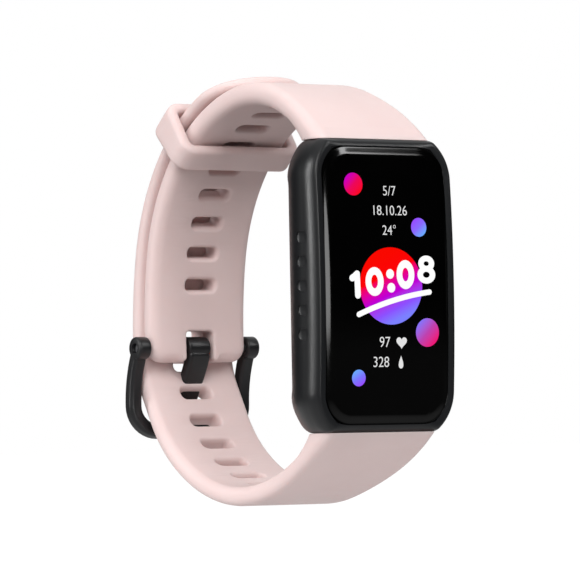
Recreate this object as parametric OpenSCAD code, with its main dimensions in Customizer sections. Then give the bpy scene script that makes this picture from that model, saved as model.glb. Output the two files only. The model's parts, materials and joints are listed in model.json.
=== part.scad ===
// Fitness tracker band, buckled shut in its worn shape.
// Row frame: origin at the middle of the wrist opening, +Z towards the 12 o'clock strap,
// the screen faces -Y and +X is the button side. All sizes are millimetres.

/* [Case] */
// Width of the case across the wrist direction
case_w = 25.4; // [25:0.1:26]
// Height of the case from strap to strap
case_h = 43; // [42.6:0.1:43.4]
// Depth of the case body without the sensor platform
case_d = 9.5; // [9.3:0.1:9.8]
// Depth over the sensor platform
case_d_total = 11.45; // [11.2:0.05:11.8]
// Radius of the front face along the height
front_r = 245; // [230:5:260]
// Radius of the back face along the height
back_r = 400; // [380:10:420]
// Corner radius seen from the front, before the ends are trimmed
corner_r = 7.5; // [7:0.1:8]
// How deep the rounding between the front and the sides reaches
rim_deep = 2.4; // [2.2:0.1:2.6]
// Radius of the bowed back half of the sides
side_r = 9; // [8.8:0.1:9.6]
// Thickness of the side walls
wall = 1.7; // [1.6:0.05:1.8]

/* [Glass and display] */
// Width of the front glass
glass_w = 22; // [21.8:0.1:22.2]
// Height of the front glass
glass_h = 40.6; // [40.4:0.1:40.8]
// Corner radius of the front glass
glass_r = 4.5; // [4:0.1:5]
// Thickness of the front glass
glass_t = 1.3; // [1.2:0.05:1.35]
// Width of the display panel
panel_w = 18.6; // [18:0.1:19]
// Height of the display panel
panel_h = 35.4; // [35:0.1:36]

/* [Straps] */
// Distance from the wrist axis to the front of the glass
ring_front = 30; // [29:0.5:31]
// Width of both straps behind the flare
strap_w = 17.6; // [17.4:0.1:17.8]
// Width of both straps where they meet the case
strap_end_w = 20.3; // [20:0.1:20.6]
// Thickness of the 12 o'clock strap
upper_t = 3.4; // [3.2:0.1:3.5]
// Thickness of the 6 o'clock strap before its tail thins out
lower_t = 2.9; // [2.7:0.1:3]
// Thickness of the tail at its tip
tip_t = 1.8; // [1.6:0.1:1.9]
// Gap between the two layers where they lie on each other
layer_gap = 0.3; // [0.25:0.05:0.4]
// Distance between slots along a strap
slot_pitch = 5.1; // [5:0.05:5.2]
// Length of a slot across the strap
slot_w = 5.6; // [5.2:0.1:6]
// Height of a slot along the strap
slot_h = 2.1; // [1.9:0.1:2.3]

/* [Keeper loop] */
// Length of the loop along the strap, in degrees of its arc
keeper_span = 9.8; // [9:0.2:10.4]
// Wall of the loop
keeper_wall = 1.7; // [1.5:0.1:1.9]
// Clearance between the loop and the layers inside it
keeper_play = 0.25; // [0.2:0.05:0.3]

/* [Buckle] */
// Width over the buckle arms
buckle_w = 22.3; // [22:0.1:22.6]
// Thickness of one buckle arm
arm_t = 2.15; // [2:0.05:2.2]
// Radius of the eye around the buckle pin
eye_r = 1.75; // [1.7:0.05:1.85]
// Radius of the buckle pin
pin_r = 0.75; // [0.7:0.05:0.75]
// Width of the tongue
tongue_w = 4; // [3.8:0.1:4.2]

/* [Spring bars] */
// Radius of a spring bar's tube
bar_r = 0.9; // [0.85:0.05:0.95]
// Distance from the case centre to a spring bar
bar_z = 19.2; // [19:0.1:19.4]
// How deep each end of a spring bar sits in the case
bar_grip = 1.6; // [1.4:0.1:1.7]

/* [Button] */
// Length of the side button
button_l = 8; // [7:0.5:9]
// Height of the button's sides in the case depth
button_w = 2.4; // [2.2:0.1:2.6]
// How far the button stands proud of the side wall
button_proud = 0.6; // [0.5:0.05:0.7]
// Distance from the case centre up to the button
button_z = 6; // [5:0.5:7]

/* [Hidden] */

$fn = 48;
fine = 0.05;
end_z = case_h / 2;
// Depths measured back from the middle of the glass
shelf_y = glass_t + 0.2;
cavity_y = 2.6;
cover_y = 8.6;
ledge_y = 8;
rim_y = 0.15;
bow_y = 4;
end_bow_y = 8.15;
end_round = 1.9;
cavity_w = case_w - 2 * wall;
cavity_h = 33.2;
pocket_y0 = 3.2;
pocket_y1 = 7.9;
pocket_w = 17.4;
bar_y = 5.4;
silicone = "#e9d2cf";
plastic = "#2b2b2d";

// ---- paths in the Y-Z plane ---------------------------------------------------
// A station is [y, z, heading, distance], with y measured back from the glass.
// An arc is [radius, turn], and a turn to the left is positive. A turn of 0 is a
// straight, whose first value is its length.
path_step = 1.2;
function ahead(h) = [cos(h), sin(h)];
function left(h) = [-sin(h), cos(h)];
function arc_length(arc) = arc[1] == 0 ? arc[0] : arc[0] * abs(arc[1]) * PI / 180;
function arc_point(p, h, arc, f) =
    arc[1] == 0 ? p + f * arc[0] * ahead(h)
                : p + sign(arc[1]) * arc[0] * (left(h) - left(h + f * arc[1]));
function arc_run(p, h, s, arc) =
    let (n = max(2, ceil(arc_length(arc) / path_step)))
    [for (i = [0:n])
        let (q = arc_point(p, h, arc, i / n))
        [q[0], q[1], h + arc[1] * i / n, s + arc_length(arc) * i / n]];
function tail_of(list) = [for (i = [1:len(list) - 1]) list[i]];
function last(list) = list[len(list) - 1];
function walk(p, h, s, arcs, k = 0) =
    k == len(arcs) ? [] :
    let (run = arc_run(p, h, s, arcs[k]), e = last(run))
    concat(k == 0 ? run : tail_of(run), walk([e[0], e[1]], e[2], e[3], arcs, k + 1));
function reversed(list) = [for (i = [len(list) - 1:-1:0]) list[i]];
function station(run, s) =
    [for (k = [0:2]) lookup(s, [for (q = run) [q[3], q[k]]])];
function offset_points(run, d) =
    [for (i = [0:len(run) - 1]) [run[i][0], run[i][1]] + d[i] * left(run[i][2])];

// The 12 o'clock strap turns right all the way round to the buckle pin.
upper_arcs = [[39, -19], [21.5, -32], [28.5, -69.5], [68, -11.5]];
upper_run = walk([4.6, end_z], 40, 0, upper_arcs);
pin_at = last(upper_run);
lug_at = last(arc_run([pin_at[0], pin_at[1]], pin_at[2], pin_at[3], [0.55, 0]));

// The 6 o'clock strap turns left, climbs outside the other strap and ends on its crest.
layer_offset = upper_t / 2 + layer_gap + lower_t / 2;
meet = [pin_at[0], pin_at[1]] + layer_offset * left(pin_at[2]);
meet_h = pin_at[2] + 180;
lower_start = [[47, 24], [27.5, 53.5], [20, 20]];
climb = last(walk([3.8, -end_z], -37.5, 0, lower_start));
to_meet = meet - [climb[0], climb[1]];
bend = [sin(meet_h) - sin(climb[2]), cos(climb[2]) - cos(meet_h)];
climb_l = cross(to_meet, bend) / cross(ahead(climb[2]), bend);
climb_r = cross(ahead(climb[2]), to_meet) / cross(ahead(climb[2]), bend);
tail_arcs = [[68 + layer_offset, 11.5], [28.5 + layer_offset, 69.5],
    [21.5 + layer_offset, 1]];
lower_arcs = concat(lower_start, [[climb_l, 0], [climb_r, meet_h - climb[2]]], tail_arcs);
lower_run = walk([3.8, -end_z], -37.5, 0, lower_arcs);
lower_l = last(lower_run)[3];
tail_from = last(walk([3.8, -end_z], -37.5, 0, concat(lower_start,
    [[climb_l, 0], [climb_r, meet_h - climb[2]]])))[3];

// Both straps run on straight into the case end, where they are cut off level.
function rooted(run) =
    let (q = run[0], p = [q[0], q[1]] - root_l * ahead(q[2]))
    concat([[p[0], p[1], q[2], -root_l]], run);
root_l = 3.5;

// Thickness rules: both straps flare inwards at the case, and the tail thins out.
function flare(s) = 2.2 * pow(max(0, 1 - s / 9), 2);
function lower_thickness(s) =
    lower_t - (lower_t - tip_t) * max(0, s - tail_from) / (lower_l - tail_from);

// Centre of the constant arc that the keeper loop slides on
keeper_from = last(walk([4.6, end_z], 40, 0, [upper_arcs[0], upper_arcs[1]]));
keeper_r = upper_arcs[2][0];
keeper_c = [keeper_from[0], keeper_from[1]] - keeper_r * left(keeper_from[2]);
keeper_h = -39.7;

// The tail's round tip is a little fuller than a half circle.
tip_r = strap_w / 2 + 0.3;

// Slot distances along each strap
upper_slots = [for (k = [0:8]) 63.3 - k * slot_pitch];
tongue_slot = 56.4;
lower_slots = [for (k = [-5:9]) tongue_slot + k * slot_pitch];

// ---- shared shapes ------------------------------------------------------------
// Moves geometry from glass coordinates into the row frame
module ring() {
    translate([0, -ring_front, 0]) children();
}

// Puts children on a station: x across, y along the path, z to its left
module at(st) {
    translate([0, st[0], st[1]]) rotate([st[2], 0, 0]) children();
}

// Lays an outline drawn in Y-Z across the width w, centred
module across(w) {
    rotate([90, 0, 90]) linear_extrude(w, center = true) children();
}

// A rectangle with round corners, centred, with true arcs
module rounded(w, h, r) {
    square([w - 2 * r, h], center = true);
    square([w, h - 2 * r], center = true);
    for (x = [-1, 1], y = [-1, 1])
        translate([x * (w / 2 - r), y * (h / 2 - r)]) circle(r);
}

// A rounded rectangle seen from the front, from depth y0 to depth y1
module slab(w, h, r, y0, y1) {
    translate([0, y1, 0]) rotate([90, 0, 0]) linear_extrude(y1 - y0) rounded(w, h, r);
}

// A plain block given by its middle and its size
module block(c, s) {
    translate(c) cube(s, center = true);
}

// A cylinder along X from x0 to x1 at depth y and height z
module rod(r, x0, x1, y, z) {
    translate([x0, y, z]) rotate([0, 90, 0]) cylinder(r = r, h = x1 - x0);
}

// A cylinder along Y from y0 to y1 at x and z
module post(r, y0, y1, x, z) {
    translate([x, y1, z]) rotate([90, 0, 0]) cylinder(r = r, h = y1 - y0);
}

// ---- case ---------------------------------------------------------------------
// Everything behind the curved front, at the given depth below it
module behind_front(depth) {
    translate([0, front_r + depth, 0]) rotate([0, 90, 0])
        cylinder(r = front_r, h = 2 * case_w, center = true, $fn = 1440);
}

// Everything in front of the hollow-curved back, at the given depth
module ahead_of_back(depth) {
    edge = [for (z = [-24:2:24]) [depth + back_r - sqrt(back_r * back_r - z * z), z]];
    across(2 * case_w) polygon(concat([[-10, -24]], edge, [[-10, 24]]));
}

module case_outline() {
    intersection() {
        rounded(case_w, case_h + 3.2, corner_r);
        square([case_w, case_h], center = true);
    }
}

// The case cut level: a tight rim that eases into the side, then a bow to the back
module case_section() {
    turn = 65;
    tight = 0.4;
    wide = (rim_deep - tight * (1 - cos(turn))) / cos(turn);
    rim_x = case_w / 2 - tight * sin(turn) - wide * (1 - sin(turn));
    for (m = [0, 1]) mirror([m, 0]) {
        translate([-1, rim_y]) square([rim_x + 1, bow_y - rim_y]);
        translate([rim_x, rim_y + tight]) circle(tight);
        translate([case_w / 2 - wide, rim_y + rim_deep]) intersection() {
            circle(wide);
            polygon([[0, 0], [2 * wide, 0], [2 * wide * sin(turn), -2 * wide * cos(turn)]]);
        }
        translate([-1, rim_y + rim_deep]) square([case_w / 2 + 1, bow_y - rim_y - rim_deep]);
        translate([case_w / 2 - side_r, bow_y]) intersection() {
            circle(side_r);
            translate([-side_r, 0]) square([2 * side_r, side_r]);
        }
        translate([-1, bow_y]) square([case_w / 2 - side_r + 1, side_r]);
    }
}

module case_sides() {
    linear_extrude(case_h + 1, center = true) case_section();
}

// The case seen from the side, with the back rounded towards both straps
module end_section() {
    square([2 * end_bow_y, case_h], center = true);
    square([30, case_h - 2 * end_round], center = true);
    for (m = [0, 1]) mirror([0, m])
        translate([end_bow_y, case_h / 2 - end_round]) circle(end_round);
}

module case_body() {
    intersection() {
        across(2 * case_w) end_section();
        translate([0, 12, 0]) rotate([90, 0, 0]) linear_extrude(14) case_outline();
        case_sides();
        behind_front(0);
        ahead_of_back(case_d);
    }
}

module strap_pocket() {
    block([0, (pocket_y0 + pocket_y1) / 2, end_z - 0.9],
        [pocket_w, pocket_y1 - pocket_y0, 6]);
}

module bar_holes() {
    rod(0.5, -pocket_w / 2 - bar_grip - 0.3, pocket_w / 2 + bar_grip + 0.3, bar_y, bar_z);
}

module case_shell() {
    color(plastic) ring() difference() {
        case_body();
        slab(glass_w + 0.2, glass_h + 0.2, glass_r + 0.1, -2, shelf_y + 0.25);
        slab(panel_w + 1.6, panel_h + 1.2, 2.5, 0, cavity_y + 0.1);
        slab(cavity_w, cavity_h, 2.2, cavity_y, ledge_y);
        slab(cavity_w - 1.2, cavity_h, 2.2, cavity_y, 14);
        slab(cavity_w + 1.4, cavity_h + 1.6, 2.9, cover_y, 14);
        for (m = [0, 1]) mirror([0, 0, m]) {
            strap_pocket();
            bar_holes();
        }
        button_hole();
    }
}

module back_cover() {
    color(plastic) ring() difference() {
        union() {
            intersection() {
                slab(cavity_w + 1.3, cavity_h + 1.5, 2.85, cover_y + 0.15, 12);
                case_sides();
                ahead_of_back(case_d);
            }
            slab(17.4, 21.4, 6, cover_y + 0.15, case_d_total - 0.25);
            slab(16.8, 20.8, 5.7, cover_y + 0.15, case_d_total);
        }
        slab(13.4, 17.4, 4.4, cover_y - 1, case_d_total - 0.95);
        slab(10.4, 13.6, 4, cover_y, case_d_total + 1);
        for (x = [-1, 1]) post(1.2, cover_y - 1, 12, x * 1.9, -14);
    }
}

module back_gasket() {
    color("#3a3a3c") ring() difference() {
        slab(cavity_w + 0.4, cavity_h + 1.4, 2.8, cover_y + 0.02, cover_y + 0.13);
        slab(cavity_w - 1.1, cavity_h + 0.1, 2.25, cover_y - 1, cover_y + 1);
    }
}

// ---- glass and display --------------------------------------------------------
module front_glass() {
    color("#050506") ring() intersection() {
        slab(glass_w, glass_h, glass_r, -1, shelf_y);
        behind_front(-0.02);
    }
}

module display_panel() {
    color("#111113") ring() slab(panel_w, panel_h, 1.6, shelf_y + 0.02, shelf_y + 0.62);
}

module display_gasket() {
    color("#3a3a3c") ring() difference() {
        slab(glass_w - 0.3, glass_h - 0.3, glass_r - 0.15, shelf_y + 0.02, shelf_y + 0.23);
        slab(panel_w + 1.8, panel_h + 1.4, 2.6, 0, 4);
    }
}

// The ribbon leaves the panel's lower edge and folds back to the board.
module display_flex() {
    color("#c8862f") ring() {
        block([0, 2.35, -8.2], [7, 0.12, 16.2]);
        block([0, 2.93, -0.16], [7, 1.28, 0.12]);
        block([0, 3.63, 0.9], [7, 0.12, 2.24]);
    }
}

module inner_bracket() {
    color("#8d9095") ring() difference() {
        union() {
            slab(cavity_w - 0.4, cavity_h - 0.4, 2, 2.72, 3.12);
            for (p = screw_places) post(1.2, 3, board_y - 0.02, p[0], p[1]);
        }
        block([0, 3, -0.16], [8, 4, 2]);
        slab(9, 8, 1.5, 2, 4);
        for (p = screw_places) post(0.65, 2, 4, p[0], p[1]);
    }
}

// ---- electronics --------------------------------------------------------------
screw_places = [[-9.3, 2.4], [9.3, 2.4], [-2.6, 15]];
board_y = 3.7;
board_up = 8.9;

module main_board() {
    color("#1f5a3a") ring() raised_board() difference() {
        slab(20.6, 14.6, 1, board_y, board_y + 0.8);
        for (p = screw_places) post(0.65, 2, 6, p[0], p[1] - board_up);
        block([9.2, board_y, button_z + 0.6 - board_up], [3.2, 3, 6]);
    }
}

module raised_board() {
    translate([0, 0, board_up]) children();
}

module shield_can() {
    color("#b9bcc0") ring() raised_board() difference() {
        slab(11.2, 8.4, 0.6, board_y + 0.82, board_y + 2.1);
        slab(10.8, 8, 0.4, board_y + 0.5, board_y + 1.9);
    }
}

module board_chips() {
    color("#1b1b1d") ring() raised_board() {
        block([-2.4, board_y + 1.22, 0], [4.6, 0.76, 5.2]);
        block([2.7, board_y + 1.17, 1.5], [3.2, 0.66, 2.6]);
        block([2.7, board_y + 1.12, -2], [2.4, 0.56, 1.8]);
    }
}

module board_screws() {
    color("#9a9da1") ring() for (p = screw_places) {
        post(0.55, 2.75, board_y + 0.82, p[0], p[1]);
        post(1, board_y + 0.82, board_y + 1.3, p[0], p[1]);
    }
}

module battery_pouch() {
    color("#c9ccd1") ring() translate([0, 0, -8.6]) slab(19.6, 14.8, 1.2, 3.3, 7.9);
}

module battery_lead() {
    color("#c8862f") ring() {
        block([5.4, 6.8, -0.86], [3, 0.14, 0.66]);
        block([5.4, 5.67, -0.47], [3, 2.4, 0.12]);
        block([5.4, 4.58, 1.43], [3, 0.14, 3.68]);
    }
}

motor_x = -6.1;
motor_z = 13;
motor_y = board_y + 2.4;

module motor_case() {
    color("#a4a7ab") ring() difference() {
        post(3.2, motor_y, motor_y + 2.2, motor_x, motor_z - 1);
        post(2.95, motor_y + 0.3, motor_y + 1.9, motor_x, motor_z - 1);
    }
}

module motor_shaft() {
    color("#d5d7da") ring() post(0.35, motor_y + 0.3, motor_y + 1.9, motor_x, motor_z - 1);
}

module motor_rotor() {
    color("#7d7355") ring() difference() {
        post(2.6, motor_y + 0.6, motor_y + 1.6, motor_x, motor_z - 1);
        block([motor_x - 3, motor_y + 1, motor_z - 1], [4.4, 3, 8]);
        post(0.4, motor_y, motor_y + 3, motor_x, motor_z - 1);
    }
}

module antenna_strip() {
    color("#c8862f") ring() block([-cavity_w / 2 + 0.15, 6, -2], [0.14, 3, 16]);
}

// ---- sensor and charging ------------------------------------------------------
module sensor_board() {
    color("#1f5a3a") ring() slab(13, 17, 4.2, cover_y + 0.2, cover_y + 0.7);
}

module light_barrier() {
    color("#18181a") ring() difference() {
        slab(10, 13, 3.6, cover_y + 0.72, case_d_total - 0.98);
        slab(3.2, 4.2, 0.6, cover_y, 12);
        for (z = [-1, 1]) block([0, 10, z * 4.2], [3.4, 5, 2.6]);
    }
}

module sensor_window() {
    color("#1d2126") ring() slab(10.3, 13.5, 3.95, case_d_total - 0.93, case_d_total - 0.05);
}

module green_leds() {
    color("#4fd06b") ring() for (z = [-1, 1])
        block([0, cover_y + 1.02, z * 4.2], [2.2, 0.6, 1.4]);
}

module photodiodes() {
    color("#2a3350") ring() block([0, cover_y + 0.97, 0], [2.4, 0.5, 3.4]);
}

module charge_contacts() {
    color("#cfa64a") ring() for (x = [-1, 1]) {
        post(1.15, cover_y + 0.2, case_d - 0.02 + 0.2, x * 1.9, -14);
    }
}

// ---- button -------------------------------------------------------------------
button_y = 4.9;
side_x = case_w / 2;

module button_hole() {
    translate([0, button_y, button_z]) {
        translate([side_x - 0.75, 0, 0]) rotate([90, 0, 90])
            linear_extrude(4) rounded(button_w + 0.3, button_l + 0.3, 1.3);
        rod(1.02, side_x - 1.25, side_x - 0.7, 0, 0);
        rod(0.62, 5, 14, 0, 0);
    }
}

module button_cap() {
    color(plastic) ring() translate([0, button_y, button_z]) {
        translate([side_x - 0.4, 0, 0]) rotate([90, 0, 90])
            linear_extrude(0.4 + button_proud) rounded(button_w, button_l, 1.15);
        difference() {
            rod(0.55, side_x - 2.6, side_x - 0.35, 0, 0);
            difference() {
                rod(0.8, side_x - 1.93, side_x - 1.71, 0, 0);
                rod(0.4, side_x - 3, side_x, 0, 0);
            }
        }
    }
}

module button_seal() {
    color("#55565a") ring() translate([0, button_y, button_z]) difference() {
        rod(1, side_x - 1.22, side_x - 0.82, 0, 0);
        rod(0.56, side_x - 2, side_x, 0, 0);
    }
}

module button_clip() {
    color("#c4c6c9") ring() translate([0, button_y, button_z]) difference() {
        rod(1, side_x - 1.91, side_x - 1.73, 0, 0);
        rod(0.42, side_x - 3, side_x, 0, 0);
        block([side_x - 1.8, -0.8, 0], [1, 1.2, 0.7]);
    }
}

module button_switch() {
    color("#3c3d40") ring() translate([0, button_y, button_z]) difference() {
        block([side_x - 4, 0, 0], [1.2, 2.2, 3.2]);
        rod(0.55, side_x - 4.1, side_x, 0, 0);
    }
}

module switch_plunger() {
    color("#d9d9d4") ring() translate([0, button_y, button_z])
        rod(0.45, side_x - 3.7, side_x - 2.62, 0, 0);
}

module button_flex() {
    color("#c8862f") ring() block([side_x - 4.68, button_y, button_z], [0.12, 2.1, 4.4]);
}

// ---- strap fittings in the case -----------------------------------------------
// Drawn for the 12 o'clock end; the 6 o'clock end is its mirror image.
module neck() {
    block([0, (pocket_y0 + pocket_y1) / 2, end_z - 1.1],
        [pocket_w - 0.3, pocket_y1 - pocket_y0 - 0.3, 5.2]);
}

module insert_shape(grow) {
    rod(1.25 + grow, -7.5 - grow, 7.5 + grow, bar_y, bar_z);
    block([0, bar_y, bar_z + 2.2], [15 + 2 * grow, 1.4 + 2 * grow, 3.4 + 2 * grow]);
}

module bar_bore() {
    rod(bar_r + fine, -9, 9, bar_y, bar_z);
}

module strap_insert() {
    difference() {
        insert_shape(0);
        bar_bore();
    }
}

module bar_tube() {
    difference() {
        rod(bar_r, -8.6, 8.4, bar_y, bar_z);
        rod(bar_r - 0.25, -6, 6.62, bar_y, bar_z);
        rod(0.5, 6, 9, bar_y, bar_z);
    }
    rod(0.45, -pocket_w / 2 - bar_grip, -8.5, bar_y, bar_z);
}

module bar_tip() {
    rod(0.45, 6.4, pocket_w / 2 + bar_grip, bar_y, bar_z);
    rod(bar_r - 0.3, 4.9, 6.6, bar_y, bar_z);
}

// A helix swept as one closed skin
spring_turns = 6;
spring_sides = 6;
spring_steps = 10;
spring_wire = 0.1;
spring_x0 = -5.8;
spring_x1 = 4.7;
function spring_ring(i) =
    let (f = i / (spring_turns * spring_steps), a = 360 * spring_turns * f)
    [for (k = [0:spring_sides - 1])
        let (b = 360 * k / spring_sides, r = 0.42 + spring_wire * cos(b))
        [spring_x0 + (spring_x1 - spring_x0) * f + spring_wire * sin(b),
            bar_y + r * cos(a), bar_z + r * sin(a)]];
module bar_spring() {
    n = spring_turns * spring_steps;
    m = spring_sides;
    points = [for (i = [0:n]) each spring_ring(i)];
    skin = [for (i = [0:n - 1], k = [0:m - 1])
        let (a = i * m + k, b = i * m + (k + 1) % m)
        each [[a, a + m, b + m], [a, b + m, b]]];
    first = [for (k = [0:m - 1]) k];
    final = [for (k = [m - 1:-1:0]) n * m + k];
    polyhedron(points, concat(skin, [first, final]));
}

module upper_insert() {
    color("#46474b") ring() strap_insert();
}

module lower_insert() {
    color("#46474b") ring() mirror([0, 0, 1]) strap_insert();
}

module upper_bar() {
    color("#c4c6c9") ring() bar_tube();
}

module lower_bar() {
    color("#c4c6c9") ring() mirror([0, 0, 1]) bar_tube();
}

module upper_bar_tip() {
    color("#c4c6c9") ring() bar_tip();
}

module lower_bar_tip() {
    color("#c4c6c9") ring() mirror([0, 0, 1]) bar_tip();
}

module upper_bar_spring() {
    color("#8b8e92") ring() bar_spring();
}

module lower_bar_spring() {
    color("#8b8e92") ring() mirror([0, 0, 1]) bar_spring();
}

// ---- straps -------------------------------------------------------------------
// Half the strap width at a depth behind the glass: it narrows away from the case
function half_width(y) =
    let (f = min(1, max(0, (y - 3) / 17)))
    (strap_w + (strap_end_w - strap_w) * (1 + cos(180 * f)) / 2) / 2;
module strap_plan() {
    depths = [for (y = [0:1.25:20]) y];
    right = concat([for (y = depths) [half_width(y), y]], [[half_width(30), 60]]);
    polygon(concat(right, reversed([for (p = right) [-p[0], p[1]]])));
}

module trimmed_strap() {
    intersection() {
        children();
        linear_extrude(100, center = true) strap_plan();
    }
}

module slot() {
    translate([0, 0, -4]) linear_extrude(8) rounded(slot_w, slot_h, 0.7);
}

// The end of each strap is cut off level with the case end
module end_cut() {
    difference() {
        block([0, 5, end_z - 4.9], [24, 24, 10]);
        neck();
    }
}

// Rounds off a corner beside the tip of a strap, in the X-along plane
module corner_cut(r, w) {
    for (x = [-1, 1]) difference() {
        translate([x * w / 2 - r, 0, -5]) cube([2 * r, 2 * r, 10]);
        translate([x * (w / 2 - r), 0, -6]) cylinder(r = r, h = 12);
    }
}

module upper_profile() {
    run = concat(rooted(upper_run), [lug_at]);
    outer = offset_points(run, [for (q = run) upper_t / 2]);
    inner = offset_points(run, [for (q = run) -upper_t / 2 - flare(q[3])]);
    polygon(concat(outer, reversed(inner)));
}

module upper_strap() {
    color(silicone) ring() difference() {
        union() {
            trimmed_strap() union() {
                across(24) upper_profile();
                rod(upper_t / 2, -12, 12, lug_at[0], lug_at[1]);
            }
            neck();
        }
        end_cut();
        insert_shape(0.04);
        bar_bore();
        for (s = upper_slots) at(station(upper_run, s)) slot();
        // The notch for the tongue, and the bore for the buckle pin
        at(pin_at) block([0, 3.3, 0], [tongue_w + 1, 11.8, 8]);
        rod(pin_r + 0.08, -12, 12, pin_at[0], pin_at[1]);
        at([lug_at[0], lug_at[1] - 0.6, lug_at[2]]) corner_cut(2.3, strap_w);
    }
}

module lower_profile() {
    run = rooted(lower_run);
    outer = offset_points(run, [for (q = run) lower_t / 2 - lower_thickness(q[3])]);
    inner = offset_points(run, [for (q = run) lower_t / 2 + flare(q[3])]);
    polygon(concat(outer, reversed(inner)));
}

module lower_strap() {
    color(silicone) ring() difference() {
        union() {
            trimmed_strap() across(24) lower_profile();
            mirror([0, 0, 1]) neck();
        }
        mirror([0, 0, 1]) {
            end_cut();
            insert_shape(0.04);
            bar_bore();
        }
        for (s = lower_slots) at(station(lower_run, s)) slot();
        tongue_passage();
        at(station(lower_run, lower_l - tip_r)) difference() {
            translate([-12, 0, -6]) cube([24, 14, 12]);
            translate([0, 0, -7]) cylinder(r = tip_r, h = 14);
        }
    }
}

// ---- keeper loop --------------------------------------------------------------
module keeper_loop() {
    inner_r = keeper_r - upper_t / 2 - keeper_play;
    outer_r = keeper_r + upper_t / 2 + layer_gap + tip_t + 0.5 + keeper_play;
    opening_w = strap_w + 2 * keeper_play;
    opening_h = outer_r - inner_r;
    color(silicone) ring() translate([0, keeper_c[0], keeper_c[1]])
        rotate([90 + keeper_h - keeper_span / 2, 0, 0]) rotate([90, 0, 90])
            rotate_extrude(angle = keeper_span, $fn = 360)
                translate([(inner_r + outer_r) / 2, 0]) difference() {
                    rounded(opening_h + 2 * keeper_wall, opening_w + 2 * keeper_wall, 2.2);
                    rounded(opening_h, opening_w, 0.6);
                }
}

// ---- buckle -------------------------------------------------------------------
// The frame is a D-shaped plate, bowed outwards from the pin's eyes to its crossbar.
frame_run = walk([pin_at[0], pin_at[1]], -61.5, 0, [[18.2, -45]]);
frame_t = 2.1;
crossbar_h = 2.3;

module frame_profile() {
    outer = offset_points(frame_run, [for (q = frame_run) frame_t / 2]);
    inner = offset_points(frame_run, [for (q = frame_run) -frame_t / 2]);
    polygon(concat(outer, reversed(inner)));
}

// The D seen from behind: round outer corners and a straight-sided opening
module frame_outline() {
    foot_z = last(frame_run)[1];
    difference() {
        translate([0, foot_z + 10]) rounded(buckle_w, 20, 5);
        translate([0, foot_z + crossbar_h + 10]) rounded(buckle_w - 2 * arm_t, 20, 2.6);
    }
}

module buckle_frame() {
    arm_x = (buckle_w - arm_t) / 2;
    color("#242426") ring() difference() {
        union() {
            intersection() {
                across(buckle_w) frame_profile();
                translate([0, 60, 0]) rotate([90, 0, 0]) linear_extrude(20) frame_outline();
            }
            for (x = [-1, 1])
                rod(eye_r, x * arm_x - arm_t / 2, x * arm_x + arm_t / 2, pin_at[0], pin_at[1]);
        }
        rod(pin_r + 0.02, -12, 12, pin_at[0], pin_at[1]);
    }
}

module buckle_pin() {
    color("#c4c6c9") ring() rod(pin_r, -buckle_w / 2 + 0.5, buckle_w / 2 - 0.5,
        pin_at[0], pin_at[1]);
}

// The tongue leaves its barrel, bends through the strap and lies over the crossbar.
tongue_run = walk([pin_at[0] - 1, pin_at[1] - 0.4], -74, 0,
    [[14, 14], [5.2, 0], [10, -22], [1, 0]]);

module tongue_profile(grow) {
    function half(s) = 0.95 - 0.2 * s / last(tongue_run)[3] + grow;
    outer = offset_points(tongue_run, [for (q = tongue_run) half(q[3])]);
    inner = offset_points(tongue_run, [for (q = tongue_run) -half(q[3])]);
    polygon(concat(outer, reversed(inner)));
}

module buckle_tongue() {
    tip = last(tongue_run);
    color("#242426") ring() difference() {
        union() {
            across(tongue_w) tongue_profile(0);
            rod(1.72, -tongue_w / 2, tongue_w / 2, pin_at[0], pin_at[1]);
            rod(0.75, -tongue_w / 2, tongue_w / 2, tip[0], tip[1]);
        }
        rod(pin_r + 0.08, -12, 12, pin_at[0], pin_at[1]);
    }
}

// The slot that the tongue is in, stretched to let it swing a little
module tongue_passage() {
    across(tongue_w + 0.8) tongue_profile(0.6);
}

case_shell();
back_cover();
back_gasket();
front_glass();
display_panel();
display_gasket();
display_flex();
inner_bracket();
main_board();
shield_can();
board_chips();
board_screws();
battery_pouch();
battery_lead();
motor_case();
motor_shaft();
motor_rotor();
antenna_strip();
sensor_board();
sensor_window();
light_barrier();
green_leds();
photodiodes();
charge_contacts();
button_cap();
button_seal();
button_clip();
button_switch();
switch_plunger();
button_flex();
upper_strap();
lower_strap();
upper_insert();
lower_insert();
upper_bar();
upper_bar_tip();
upper_bar_spring();
lower_bar();
lower_bar_tip();
lower_bar_spring();
keeper_loop();
buckle_frame();
buckle_pin();
buckle_tongue();
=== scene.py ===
"""Looks of a soft-strapped fitness tracker band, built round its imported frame.

Sizes are millimetres until a mesh is placed. Depths are measured back from the middle
of the front glass, as a maker would measure them, and heights from the case's middle.
"""
import json
import logging
import math
from collections.abc import Callable, Sequence
from dataclasses import dataclass, field
from enum import Enum

import bmesh
import bpy
from mathutils import Matrix, Vector
from mathutils.geometry import delaunay_2d_cdt

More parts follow.
